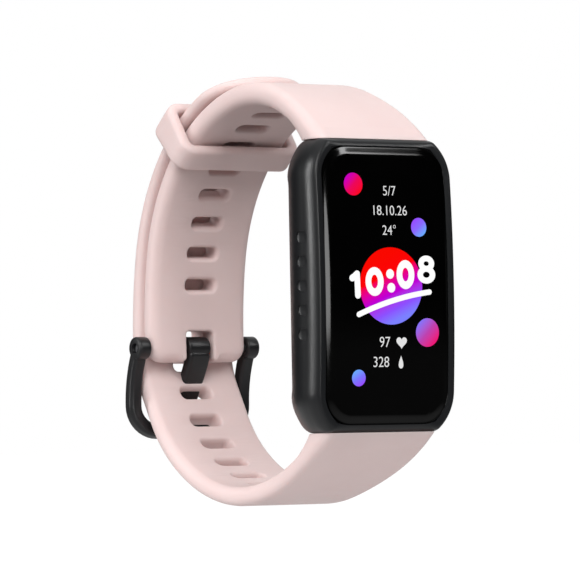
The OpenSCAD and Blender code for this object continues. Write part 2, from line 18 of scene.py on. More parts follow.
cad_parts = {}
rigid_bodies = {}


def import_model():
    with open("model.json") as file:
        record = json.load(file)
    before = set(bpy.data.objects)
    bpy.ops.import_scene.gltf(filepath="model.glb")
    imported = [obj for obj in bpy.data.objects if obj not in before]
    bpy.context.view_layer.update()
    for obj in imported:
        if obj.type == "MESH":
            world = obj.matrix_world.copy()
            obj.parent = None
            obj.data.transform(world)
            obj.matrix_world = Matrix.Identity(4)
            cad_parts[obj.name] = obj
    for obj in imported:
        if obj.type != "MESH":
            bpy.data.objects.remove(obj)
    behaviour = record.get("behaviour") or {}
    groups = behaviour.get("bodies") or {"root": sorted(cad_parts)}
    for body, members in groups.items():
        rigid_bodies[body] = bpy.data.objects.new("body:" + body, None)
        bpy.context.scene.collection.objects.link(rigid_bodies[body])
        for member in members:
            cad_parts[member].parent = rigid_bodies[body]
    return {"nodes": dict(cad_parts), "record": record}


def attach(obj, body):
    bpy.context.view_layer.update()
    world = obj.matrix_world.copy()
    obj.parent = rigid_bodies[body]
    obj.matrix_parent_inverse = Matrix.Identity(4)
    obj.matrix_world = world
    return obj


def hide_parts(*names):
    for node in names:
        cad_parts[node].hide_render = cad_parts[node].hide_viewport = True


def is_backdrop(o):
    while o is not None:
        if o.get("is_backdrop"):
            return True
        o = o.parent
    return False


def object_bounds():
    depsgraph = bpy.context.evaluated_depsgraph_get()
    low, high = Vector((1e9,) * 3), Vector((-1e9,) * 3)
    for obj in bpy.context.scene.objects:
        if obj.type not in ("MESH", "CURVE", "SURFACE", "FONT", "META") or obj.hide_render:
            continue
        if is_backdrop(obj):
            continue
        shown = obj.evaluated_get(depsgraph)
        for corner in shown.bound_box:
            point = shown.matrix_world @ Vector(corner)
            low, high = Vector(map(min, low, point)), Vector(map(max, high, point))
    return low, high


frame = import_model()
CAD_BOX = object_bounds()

log = logging.getLogger("band")

MM = 0.001
GLASS_DEPTH = 30.0
FRONT_RADIUS = 245.0
BACK_RADIUS = 400.0
CASE_BODY = "case_and_straps"
SLAB_HALF = 0.05
FIGURE_SHARE = 0.73


class Face(Enum):
    """The two flat faces of a plate before it is bent."""

    TOP = 1
    BOTTOM = -1


# ---- paths ---------------------------------------------------------------------------
def ahead(heading: float) -> Vector:
    """The unit step along a heading in degrees."""
    return Vector((math.cos(math.radians(heading)), math.sin(math.radians(heading))))


def left(heading: float) -> Vector:
    """The unit step to the left of a heading in degrees."""
    return Vector((-math.sin(math.radians(heading)), math.cos(math.radians(heading))))


@dataclass(frozen=True)
class Arc:
    """A bend of a path, or a straight run when the turn is nought.

    Args:
        size: the bend's radius, or the straight's length.
        turn: degrees turned, positive to the left.
    """

    size: float
    turn: float = 0.0

    @property
    def length(self) -> float:
        """The length of the run."""
        return self.size * (abs(math.radians(self.turn)) if self.turn else 1.0)

    def move(self, point: Vector, heading: float, distance: float) -> tuple[Vector, float]:
        """Walks part of this run.

        Args:
            point: where the run starts.
            heading: the heading there.
            distance: how far to walk.

        Returns:
            The point reached and the heading there.
        """
        if not self.turn:
            return point + distance * ahead(heading), heading
        turned = self.turn * distance / self.length
        side = math.copysign(self.size, self.turn)
        return point + side * (left(heading) - left(heading + turned)), heading + turned


class Path:
    """A smooth run of arcs, which goes on straight past both its ends."""

    def __init__(self, start: Sequence[float], heading: float, arcs: Sequence[Arc]) -> None:
        """Lays the arcs end to end.

        Args:
            start: the first point.
            heading: the first heading in degrees.
            arcs: the runs in order.
        """
        self.arcs = list(arcs)
        self.knots: list[tuple[Vector, float, float]] = [(Vector(start), heading, 0.0)]
        for arc in self.arcs:
            point, turned, walked = self.knots[-1]
            point, turned = arc.move(point, turned, arc.length)
            self.knots.append((point, turned, walked + arc.length))

    @property
    def length(self) -> float:
        """The length of the whole path."""
        return self.knots[-1][2]

    @property
    def end(self) -> Vector:
        """The last point."""
        return self.knots[-1][0]

    def at(self, distance: float) -> tuple[Vector, float]:
        """Finds a place on the path.

        Args:
            distance: how far from the start, which may be outside the path.

        Returns:
            The point and the heading there.
        """
        if distance <= 0:
            return self.knots[0][0] + distance * ahead(self.knots[0][1]), self.knots[0][1]
        for arc, (point, heading, walked) in zip(self.arcs, self.knots):
            if distance <= walked + arc.length:
                return arc.move(point, heading, distance - walked)
        point, heading, walked = self.knots[-1]
        return point + (distance - walked) * ahead(heading), heading

    def loop(self, steps: Sequence[int]) -> tuple[list[Vector], list[Vector]]:
        """Samples a closed path that runs anticlockwise.

        Args:
            steps: how many samples each arc gets.

        Returns:
            The points, and the directions that point out of the loop.
        """
        points, normals = [], []
        for arc, count, (_, _, walked) in zip(self.arcs, steps, self.knots):
            for step in range(count):
                point, heading = self.at(walked + arc.length * step / count + 1e-6)
                points.append(point)
                normals.append(-left(heading))
        return points, normals


def ease(value: float) -> float:
    """A smooth step from 0 to 1."""
    value = min(1.0, max(0.0, value))
    return value * value * (3 - 2 * value)


def mix(low: float, high: float, share: float) -> float:
    """A value between two others."""
    return low + (high - low) * share


@dataclass(frozen=True)
class StrapPlan:
    """The side view of the buckled straps, as the joints' frame has it."""

    case_end: float = 21.5
    upper_thickness: float = 3.4
    lower_thickness: float = 2.9
    tip_thickness: float = 1.8
    layer_gap: float = 0.3
    upper_arcs: tuple[Arc, ...] = (Arc(39, -19), Arc(21.5, -32), Arc(28.5, -69.5), Arc(68, -11.5))
    lower_arcs: tuple[Arc, ...] = (Arc(47, 24), Arc(27.5, 53.5), Arc(20, 20))

    @property
    def upper(self) -> Path:
        """The middle of the 12 o'clock strap, from the case to the buckle pin."""
        return Path((4.6, self.case_end), 40, self.upper_arcs)

    @property
    def offset(self) -> float:
        """How far the two straps' middles lie apart where they overlap."""
        return self.upper_thickness / 2 + self.layer_gap + self.lower_thickness / 2

    @property
    def lower(self) -> Path:
        """The middle of the 6 o'clock strap, from the case round to its tip."""
        start = ((3.8, -self.case_end), -37.5)
        pin, heading = self.upper.at(self.upper.length)
        meet, meet_heading = pin + self.offset * left(heading), heading + 180
        climb, turned = Path(*start, self.lower_arcs).at(Path(*start, self.lower_arcs).length)
        to_meet = meet - climb
        bend = Vector((math.sin(math.radians(meet_heading)) - math.sin(math.radians(turned)),
                       math.cos(math.radians(turned)) - math.cos(math.radians(meet_heading))))
        step = ahead(turned)
        cross = step.x * bend.y - step.y * bend.x
        straight = (to_meet.x * bend.y - to_meet.y * bend.x) / cross
        radius = (step.x * to_meet.y - step.y * to_meet.x) / cross
        return Path(*start, self.lower_arcs + (
            Arc(straight), Arc(radius, meet_heading - turned),
            Arc(68 + self.offset, 11.5), Arc(28.5 + self.offset, 69.5),
            Arc(21.5 + self.offset, 1)))

    @property
    def tail_from(self) -> float:
        """Where along the 6 o'clock strap its tail starts to thin out."""
        return self.lower.knots[5][2]


def oval(middle: Sequence[float], width: float, height: float, count: int) -> list[Vector]:
    """An oval's points, anticlockwise.

    Args:
        middle: its centre.
        width: its width.
        height: its height.
        count: how many points.

    Returns:
        The points.
    """
    turns = [math.tau * i / count for i in range(count)]
    return [Vector((middle[0] + width / 2 * math.cos(turn),
                    middle[1] + height / 2 * math.sin(turn))) for turn in turns]


# ---- mesh making -----------------------------------------------------------------------
@dataclass
class Edge:
    """One closed edge of a plate, with a rounding that may change along it.

    Args:
        points: the edge seen from above.
        normals: the directions out of the material.
        top: for each point how far the top rounding reaches in and down.
        bottom: the same for the bottom rounding.
    """

    points: list[Vector]
    normals: list[Vector]
    top: list[tuple[float, float]]
    bottom: list[tuple[float, float]]


def round_rect(width: float, height: float, radius: float, middle: Sequence[float] = (0, 0),
               steps: tuple[int, int, int] = (6, 6, 6)) -> tuple[list[Vector], list[Vector]]:
    """Samples a rectangle with round corners.

    Args:
        width: its full width.
        height: its full height.
        radius: its corner radius.
        middle: its centre.
        steps: samples on the wide sides, the corners and the high sides.

    Returns:
        The points anticlockwise, and the directions out of the rectangle.
    """
    wide, high = width - 2 * radius, height - 2 * radius
    start = (middle[0] - wide / 2, middle[1] - height / 2)
    corner = Arc(radius, 90)
    arcs = [Arc(wide), corner, Arc(high), corner, Arc(wide), corner, Arc(high), corner]
    counts = [steps[0], steps[1], steps[2], steps[1]] * 2
    return Path(start, 0, arcs).loop(counts)


class Plate:
    """A flat plate with rounded edges and openings, lying in X-Y with its thickness in Z."""

    def __init__(self, thickness: float, outer: Edge, holes: Sequence[Edge] = (),
                 steps: int = 6) -> None:
        """Keeps the plate's measures.

        Args:
            thickness: the plate's full thickness.
            outer: its outer edge.
            holes: the edges of its openings, their normals pointing into the opening.
            steps: rings in each rounding.
        """
        self.thickness, self.outer, self.holes, self.steps = thickness, outer, list(holes), steps

    def _rings(self, edge: Edge) -> list[list[Vector]]:
        """The rings of an edge from the top face round to the bottom face."""
        rings = []
        for face, rounding in ((Face.TOP, edge.top), (Face.BOTTOM, edge.bottom)):
            for step in range(self.steps + 1):
                angle = math.radians(90 * step / self.steps)
                ring = []
                for point, normal, (across, down) in zip(edge.points, edge.normals, rounding):
                    flat = point - normal * across * (1 - math.sin(angle))
                    depth = self.thickness / 2 - down * (1 - math.cos(angle))
                    ring.append(Vector((flat.x, flat.y, depth * face.value)))
                rings.append(ring)
        half = self.steps + 1
        return rings[:half] + rings[half:][::-1]

    def _cap(self, mesh: bmesh.types.BMesh, loops: list[list[bmesh.types.BMVert]]) -> None:
        """Fills a flat face between its outer loop and its openings."""
        verts = [v for loop in loops for v in loop]
        edges, start = [], 0
        for loop in loops:
            edges += [(start + i, start + (i + 1) % len(loop)) for i in range(len(loop))]
            start += len(loop)
        flat = [v.co.to_2d() for v in verts]
        _, _, faces, origin, _, _ = delaunay_2d_cdt(flat, edges, [], 1, 1e-7)
        boxes = []
        for loop in loops[1:]:
            xs, ys = [v.co.x for v in loop], [v.co.y for v in loop]
            boxes.append((min(xs), max(xs), min(ys), max(ys)))
        for face in faces:
            corners = [verts[origin[i][0]] for i in face if origin[i]]
            if len(corners) < 3:
                continue
            middle = sum((v.co.to_2d() for v in corners), Vector((0, 0))) / len(corners)
            if any(a < middle.x < b and c < middle.y < d for a, b, c, d in boxes):
                if self._all_in_one(corners, loops[1:]):
                    continue
            if mesh.faces.get(corners) is None:
                mesh.faces.new(corners)

    @staticmethod
    def _all_in_one(corners: list[bmesh.types.BMVert],
                    loops: list[list[bmesh.types.BMVert]]) -> bool:
        """Whether a triangle has all its corners on one opening's edge."""
        return any(all(c in set(loop) for c in corners) for loop in loops)

    def build(self, cuts: Sequence[float] = ()) -> bmesh.types.BMesh:
        """Makes the plate.

        Args:
            cuts: places along Y where the plate gets a row of points to bend on.

        Returns:
            The closed mesh.
        """
        mesh = bmesh.new()
        tops, bottoms = [], []
        for edge in (self.outer, *self.holes):
            rings = [[mesh.verts.new(p) for p in ring] for ring in self._rings(edge)]
            for upper, lower in zip(rings, rings[1:]):
                for i in range(len(upper)):
                    j = (i + 1) % len(upper)
                    mesh.faces.new((upper[i], upper[j], lower[j], lower[i]))
            tops.append(rings[0])
            bottoms.append(rings[-1])
        self._cap(mesh, tops)
        self._cap(mesh, bottoms)
        for cut in cuts:
            bmesh.ops.bisect_plane(mesh, geom=mesh.verts[:] + mesh.edges[:] + mesh.faces[:],
                                   dist=1e-5, plane_co=(0, cut, 0), plane_no=(0, 1, 0))
        return mesh


def rings_mesh(rings: Sequence[Sequence[Vector]], closed: bool) -> bmesh.types.BMesh:
    """Skins a row of rings.

    Args:
        rings: the rings, all with the same number of points.
        closed: whether the last ring joins the first, or both ends are capped.

    Returns:
        The closed mesh.
    """
    mesh = bmesh.new()
    rows = [[mesh.verts.new(p) for p in ring] for ring in rings]
    pairs = list(zip(rows, rows[1:])) + ([(rows[-1], rows[0])] if closed else [])
    for one, two in pairs:
        for i in range(len(one)):
            j = (i + 1) % len(one)
            mesh.faces.new((one[i], one[j], two[j], two[i]))
    if not closed:
        mesh.faces.new(rows[0])
        mesh.faces.new(rows[-1])
    return mesh


def rod_mesh(radius: float, length: float, rounding: float, sides: int = 48) -> bmesh.types.BMesh:
    """A turned rod along X with rounded rims, centred.

    Args:
        radius: its radius.
        length: its full length.
        rounding: the radius of its rims.
        sides: points round it.

    Returns:
        The closed mesh.
    """
    profile = []
    for step in range(5):
        angle = math.radians(90 * step / 4)
        profile.append((-length / 2 + rounding * (1 - math.sin(angle)),
                        radius - rounding * (1 - math.cos(angle))))
    profile = profile[::-1]
    profile = [(x, r) for x, r in profile]
    profile += [(-x, r) for x, r in reversed(profile)]
    rings = [[Vector((x, r * math.cos(math.tau * i / sides), r * math.sin(math.tau * i / sides)))
              for i in range(sides)] for x, r in profile]
    return rings_mesh(rings, False)


def finished(mesh: bmesh.types.BMesh, name: str, place: Callable[[Vector], Vector] | None = None,
             sharp: float = 35.0) -> bpy.types.Object:
    """Turns a built mesh into a smooth-shaded object at the origin.

    Args:
        mesh: the built mesh, which is used up.
        name: the piece's name.
        place: moves each point, from millimetres to the row frame.
        sharp: edges that turn by more degrees than this stay crisp.

    Returns:
        The new object.
    """
    for vert in mesh.verts:
        vert.co = place(vert.co) if place else vert.co * MM
    bmesh.ops.remove_doubles(mesh, verts=mesh.verts[:], dist=2e-8)
    bmesh.ops.recalc_face_normals(mesh, faces=mesh.faces[:])
    for face in mesh.faces:
        face.smooth = True
    for edge in mesh.edges:
        if len(edge.link_faces) == 2 and edge.calc_face_angle(0.0) > math.radians(sharp):
            edge.smooth = False
    data = bpy.data.meshes.new(name)
    mesh.to_mesh(data)
    mesh.free()
    obj = bpy.data.objects.new(name, data)
    bpy.context.scene.collection.objects.link(obj)
    return obj


def in_ring(x: float, depth: float, height: float) -> Vector:
    """A place given across, back from the glass and up, in the row frame in metres."""
    return Vector((x, depth - GLASS_DEPTH, height)) * MM


def baked(obj: bpy.types.Object) -> bpy.types.Object:
    """Turns an object's modifiers into its mesh."""
    bpy.context.view_layer.update()
    graph = bpy.context.evaluated_depsgraph_get()
    mesh = bpy.data.meshes.new_from_object(obj.evaluated_get(graph))
    obj.modifiers.clear()
    obj.data = mesh
    return obj


def combined(obj: bpy.types.Object, tool: bpy.types.Object, operation: str) -> bpy.types.Object:
    """Joins a tool to an object or cuts it away, and drops the tool.

    Args:
        obj: the piece that stays.
        tool: the piece that is used up.
        operation: UNION or DIFFERENCE.

    Returns:
        The changed piece.
    """
    modifier = obj.modifiers.new("shape", "BOOLEAN")
    modifier.operation, modifier.object, modifier.solver = operation, tool, "EXACT"
    baked(obj)
    bpy.data.objects.remove(tool)
    return obj


# ---- geometry node trees ---------------------------------------------------------------
class NodeTool:
    """A Geometry Nodes tree that is built once and used as a modifier."""

    title = "tool"
    sockets: tuple[tuple[str, str], ...] = ()

    def __init__(self) -> None:
        """Starts the tree with its named inputs."""
        self.tree = bpy.data.node_groups.new(self.title, "GeometryNodeTree")
        face = self.tree.interface
        face.new_socket("Geometry", in_out="INPUT", socket_type="NodeSocketGeometry")
        self.ids = {name: face.new_socket(name, in_out="INPUT", socket_type=kind).identifier
                    for name, kind in self.sockets + (("Material", "NodeSocketMaterial"),)}
        face.new_socket("Geometry", in_out="OUTPUT", socket_type="NodeSocketGeometry")
        self.start = self.tree.nodes.new("NodeGroupInput")
        self.build()

    def node(self, kind: str, inputs: dict[str | int, object] | None = None,
             **settings: object) -> bpy.types.Node:
        """Adds a node.

        Args:
            kind: the node's type.
            inputs: socket name or number to a value or another node's socket.
            settings: the node's own settings.

        Returns:
            The node.
        """
        node = self.tree.nodes.new(kind)
        for key, value in settings.items():
            setattr(node, key, value)
        for key, value in (inputs or {}).items():
            if isinstance(value, bpy.types.NodeSocket):
                self.tree.links.new(value, node.inputs[key])
            else:
                node.inputs[key].default_value = value
        return node

    def given(self, name: str) -> bpy.types.NodeSocket:
        """The socket of one of the tree's inputs."""
        return self.start.outputs[name]

    def close(self, geometry: bpy.types.NodeSocket) -> None:
        """Ends the tree: real geometry with its material set."""
        real = self.node("GeometryNodeRealizeInstances", {"Geometry": geometry})
        dressed = self.node("GeometryNodeSetMaterial",
                            {"Geometry": real.outputs[0], "Material": self.given("Material")})
        end = self.tree.nodes.new("NodeGroupOutput")
        self.tree.links.new(dressed.outputs[0], end.inputs[0])

    def build(self) -> None:
        """Fills the tree."""
        raise NotImplementedError

    def run(self, obj: bpy.types.Object, **values: object) -> bpy.types.Object:
        """Runs the tree on an object and keeps the result as its plain mesh.

        Args:
            obj: the object to change.
            values: the tree's inputs by name.

        Returns:
            The object.
        """
        modifier = obj.modifiers.new(self.title, "NODES")
        modifier.node_group = self.tree
        for name, value in values.items():
            modifier[self.ids[name.replace("_", " ")]] = value
        return baked(obj)


class WrapAlongPath(NodeTool):
    """Lays a flat piece along a guide: X stays across, Y runs along it and Z stands off it."""

    title = "wrap_along_path"
    sockets = (("Guide", "NodeSocketObject"), ("Lead", "NodeSocketFloat"))

    def build(self) -> None:
        """Moves each point to its place beside the guide."""
        guide = self.node("GeometryNodeObjectInfo", {"Object": self.given("Guide")})
        place = self.node("ShaderNodeSeparateXYZ",
                          {0: self.node("GeometryNodeInputPosition").outputs[0]})
        along = self.node("ShaderNodeMath",
                          {0: place.outputs["Y"], 1: self.given("Lead")}, operation="ADD")
        sample = self.node("GeometryNodeSampleCurve",
                           {"Curves": guide.outputs["Geometry"], "Length": along.outputs[0]},
                           mode="LENGTH")
        side = self.node("ShaderNodeVectorMath",
                         {0: (1.0, 0.0, 0.0), 1: sample.outputs["Tangent"]},
                         operation="CROSS_PRODUCT")
        unit = self.node("ShaderNodeVectorMath", {0: side.outputs[0]}, operation="NORMALIZE")
        off = self.node("ShaderNodeVectorMath",
                        {0: unit.outputs[0], "Scale": place.outputs["Z"]}, operation="SCALE")
        across = self.node("ShaderNodeCombineXYZ", {"X": place.outputs["X"]})
        beside = self.node("ShaderNodeVectorMath", {0: off.outputs[0], 1: across.outputs[0]},
                           operation="ADD")
        spot = self.node("ShaderNodeVectorMath",
                         {0: beside.outputs[0], 1: sample.outputs["Position"]},
                         operation="ADD")
        moved = self.node("GeometryNodeSetPosition",
                          {"Geometry": self.given("Geometry"), "Position": spot.outputs[0]})
        self.close(moved.outputs[0])


class RowOfCopies(NodeTool):
    """Repeats a piece in an evenly spaced row."""

    title = "row_of_copies"
    sockets = (("Count", "NodeSocketInt"), ("Start", "NodeSocketVector"),
               ("Step", "NodeSocketVector"))

    def build(self) -> None:
        """Puts one copy on each point of a line."""
        line = self.node("GeometryNodeMeshLine",
                         {"Count": self.given("Count"), "Start Location": self.given("Start"),
                          "Offset": self.given("Step")})
        copies = self.node("GeometryNodeInstanceOnPoints",
                           {"Points": line.outputs[0], "Instance": self.given("Geometry")})
        self.close(copies.outputs[0])


class Workshop:
    """The node trees that the sub-assemblies share."""

    def __init__(self) -> None:
        """Builds each tree once."""
        self.wrap = WrapAlongPath()
        self.row = RowOfCopies()

    def guide(self, path: Path, lead: float, tail: float, step: float = 0.4) -> bpy.types.Object:
        """Draws a path as a curve for a piece to follow.

        Args:
            path: the path, its points being depth and height.
            lead: how far the guide starts before the path.
            tail: how far it runs on past the path's end.
            step: the distance between its points.

        Returns:
            The curve object.
        """
        count = math.ceil((lead + path.length + tail) / step) + 1
        curve = bpy.data.curves.new("guide", "CURVE")
        curve.dimensions = "3D"
        spline = curve.splines.new("POLY")
        spline.points.add(count - 1)
        for i in range(count):
            point, _ = path.at(-lead + (lead + path.length + tail) * i / (count - 1))
            spline.points[i].co = (*in_ring(0, point.x, point.y), 1)
        obj = bpy.data.objects.new("guide", curve)
        bpy.context.scene.collection.objects.link(obj)
        return obj

    def wrapped(self, obj: bpy.types.Object, path: Path, lead: float = 8.0,
                tail: float = 8.0) -> bpy.types.Object:
        """Bends a flat piece along a path.

        Args:
            obj: the flat piece, with Y as its distance along the path.
            path: the path to follow.
            lead: how far the piece may start before the path.
            tail: how far it may run on past the end.

        Returns:
            The bent piece.
        """
        guide = self.guide(path, lead, tail)
        self.wrap.run(obj, Guide=guide, Lead=lead * MM)
        curve = guide.data
        bpy.data.objects.remove(guide)
        bpy.data.curves.remove(curve)
        return obj


# ---- finishes ----------------------------------------------------------------------------
def shader_group(title: str, inputs: Sequence[tuple[str, str, object]],
                 outputs: Sequence[tuple[str, str]]) -> bpy.types.NodeTree:
    """Starts a shader node group.

    Args:
        title: its name.
        inputs: socket name, kind and first value.
        outputs: socket name and kind.

    Returns:
        The group, with an input and an output node.
    """
    group = bpy.data.node_groups.new(title, "ShaderNodeTree")
    for name, kind, value in inputs:
        socket = group.interface.new_socket(name, in_out="INPUT", socket_type=kind)
        socket.default_value = value
    for name, kind in outputs:
        group.interface.new_socket(name, in_out="OUTPUT", socket_type=kind)
    group.nodes.new("NodeGroupInput").name = "in"
    group.nodes.new("NodeGroupOutput").name = "out"
    return group


class SurfaceGroups:
    """Shader groups that several finishes share."""

    def __init__(self) -> None:
        """Builds each group once."""
        self.grain = self._grain()
        self.mottle = self._mottle()

    @staticmethod
    def _grain() -> bpy.types.NodeTree:
        """Fine moulded grain over a faint broad waviness."""
        group = shader_group(
            "moulded_grain", [("Fine Scale", "NodeSocketFloat", 9000.0),
                              ("Broad Scale", "NodeSocketFloat", 300.0),
                              ("Broad Share", "NodeSocketFloat", 0.3)],
            [("Height", "NodeSocketFloat")])
        nodes, links = group.nodes, group.links
        place = nodes.new("ShaderNodeTexCoord").outputs["Object"]
        parts = []
        for name in ("Fine Scale", "Broad Scale"):
            noise = nodes.new("ShaderNodeTexNoise")
            noise.inputs["Detail"].default_value = 2.0
            links.new(place, noise.inputs["Vector"])
            links.new(nodes["in"].outputs[name], noise.inputs["Scale"])
            parts.append(noise.outputs[0])
        blend = nodes.new("ShaderNodeMix")
        links.new(nodes["in"].outputs["Broad Share"], blend.inputs[0])
        links.new(parts[0], blend.inputs[2])
        links.new(parts[1], blend.inputs[3])
        links.new(blend.outputs[0], nodes["out"].inputs[0])
        return group

    @staticmethod
    def _mottle() -> bpy.types.NodeTree:
        """A colour and a roughness that vary a little over the surface."""
        group = shader_group(
            "soft_mottle", [("Colour", "NodeSocketColor", (1, 1, 1, 1)),
                            ("Deep Colour", "NodeSocketColor", (0.8, 0.8, 0.8, 1)),
                            ("Roughness", "NodeSocketFloat", 0.5),
                            ("Spread", "NodeSocketFloat", 0.06),
                            ("Scale", "NodeSocketFloat", 120.0)],
            [("Colour", "NodeSocketColor"), ("Roughness", "NodeSocketFloat")])
        nodes, links = group.nodes, group.links
        noise = nodes.new("ShaderNodeTexNoise")
        noise.inputs["Detail"].default_value = 4.0
        links.new(nodes.new("ShaderNodeTexCoord").outputs["Object"], noise.inputs["Vector"])
        links.new(nodes["in"].outputs["Scale"], noise.inputs["Scale"])
        blend = nodes.new("ShaderNodeMix")
        blend.data_type = "RGBA"
        links.new(noise.outputs[0], blend.inputs[0])
        links.new(nodes["in"].outputs["Colour"], blend.inputs[6])
        links.new(nodes["in"].outputs["Deep Colour"], blend.inputs[7])
        links.new(blend.outputs[2], nodes["out"].inputs["Colour"])
        swing = nodes.new("ShaderNodeMath")
        swing.operation = "MULTIPLY_ADD"
        links.new(noise.outputs[0], swing.inputs[0])
        links.new(nodes["in"].outputs["Spread"], swing.inputs[1])
        links.new(nodes["in"].outputs["Roughness"], swing.inputs[2])
        links.new(swing.outputs[0], nodes["out"].inputs["Roughness"])
        return group


def linear(colour: Sequence[float]) -> tuple[float, float, float, float]:
    """A screen colour from 0 to 255 as linear light."""
    values = [c / 255 for c in colour]
    return (*[v / 12.92 if v <= 0.04045 else ((v + 0.055) / 1.055) ** 2.4 for v in values], 1.0)


@dataclass(frozen=True)
class Finish:
    """A moulded, turned or coated surface.

    Args:
        name: the material's name.
        colour: its colour on a screen, from 0 to 255.
        deep: the colour that it varies towards.
        roughness: how matt it is.
        metallic: 1 for bare metal.
        bump: the height of its grain in metres.
        fine: the grain's scale.
        broad_share: how much of the grain is a broad waviness.
        coat: strength of a clear coat.
        specular: strength of its reflections.
        soften: share of light that goes in and comes out again.
    """

    name: str
    colour: tuple[float, float, float]
    deep: tuple[float, float, float]
    roughness: float = 0.45
    metallic: float = 0.0
    bump: float = 0.00001
    fine: float = 9000.0
    broad_share: float = 0.2
    coat: float = 0.0
    specular: float = 0.5
    soften: float = 0.0

    def material(self, groups: SurfaceGroups) -> bpy.types.Material:
        """Builds the material.

        Args:
            groups: the shared shader groups.

        Returns:
            The new material.
        """
        material = bpy.data.materials.new(self.name)
        material.use_nodes = True
        nodes, links = material.node_tree.nodes, material.node_tree.links
        shader = nodes["Principled BSDF"]
        shader.inputs["Metallic"].default_value = self.metallic
        shader.inputs["Coat Weight"].default_value = self.coat
        shader.inputs["Coat Roughness"].default_value = 0.05
        shader.inputs["Specular IOR Level"].default_value = self.specular
        if self.soften:
            shader.inputs["Subsurface Weight"].default_value = self.soften
            shader.inputs["Subsurface Radius"].default_value = (1.0, 0.8, 0.75)
            shader.inputs["Subsurface Scale"].default_value = 0.002
        mottle = nodes.new("ShaderNodeGroup")
        mottle.node_tree = groups.mottle
        mottle.inputs["Colour"].default_value = linear(self.colour)
        mottle.inputs["Deep Colour"].default_value = linear(self.deep)
        mottle.inputs["Roughness"].default_value = self.roughness
        links.new(mottle.outputs["Colour"], shader.inputs["Base Color"])
        links.new(mottle.outputs["Roughness"], shader.inputs["Roughness"])
        grain = nodes.new("ShaderNodeGroup")
        grain.node_tree = groups.grain
        grain.inputs["Fine Scale"].default_value = self.fine
        grain.inputs["Broad Share"].default_value = self.broad_share
        bump = nodes.new("ShaderNodeBump")
        bump.inputs["Distance"].default_value = self.bump
        links.new(grain.outputs["Height"], bump.inputs["Height"])
        links.new(bump.outputs["Normal"], shader.inputs["Normal"])
        return material


@dataclass(frozen=True)
class Glow:
    """A lit part of the display, whose colour may run from one side to the other.

    Args:
        name: the material's name.
        colours: the colours along the run, on a screen from 0 to 255.
        stops: where each colour sits along the run, from 0 to 1.
        middle: the run's middle, across and up, in millimetres.
        turn: the direction of the run in degrees, anticlockwise from +X.
        reach: the run's full length in millimetres.
        strength: how bright it is.
    """

    name: str
    colours: tuple[tuple[float, float, float], ...]
    stops: tuple[float, ...] = (0.0, 1.0)
    middle: tuple[float, float] = (0.0, 0.0)
    turn: float = 0.0
    reach: float = 1.0
    strength: float = 1.0

    def material(self) -> bpy.types.Material:
        """Builds the material: a dark glossy surface that shines by itself."""
        material = bpy.data.materials.new(self.name)
        material.use_nodes = True
        nodes, links = material.node_tree.nodes, material.node_tree.links
        shader = nodes["Principled BSDF"]
        shader.inputs["Base Color"].default_value = (0, 0, 0, 1)
        shader.inputs["Roughness"].default_value = 0.08
        shader.inputs["Specular IOR Level"].default_value = 0.2
        shader.inputs["Emission Strength"].default_value = self.strength
        if len(self.colours) == 1:
            shader.inputs["Emission Color"].default_value = linear(self.colours[0])
            return material
        mapping = nodes.new("ShaderNodeMapping")
        mapping.vector_type = "TEXTURE"
        mapping.inputs["Location"].default_value = in_ring(self.middle[0], 0, self.middle[1])
        mapping.inputs["Rotation"].default_value = (0, -math.radians(self.turn), 0)
        mapping.inputs["Scale"].default_value = (self.reach * MM,) * 3
        links.new(nodes.new("ShaderNodeTexCoord").outputs["Object"], mapping.inputs["Vector"])
        split = nodes.new("ShaderNodeSeparateXYZ")
        links.new(mapping.outputs[0], split.inputs[0])
        shift = nodes.new("ShaderNodeMath")
        shift.operation = "ADD"
        shift.inputs[1].default_value = 0.5
        links.new(split.outputs["X"], shift.inputs[0])
        ramp = nodes.new("ShaderNodeValToRGB")
        links.new(shift.outputs[0], ramp.inputs[0])
        steps = ramp.color_ramp.elements
        while len(steps) < len(self.colours):
            steps.new(0.5)
        for step, stop, colour in zip(steps, self.stops, self.colours):
            step.position, step.color = stop, linear(colour)
        links.new(ramp.outputs[0], shader.inputs["Emission Color"])
        return material


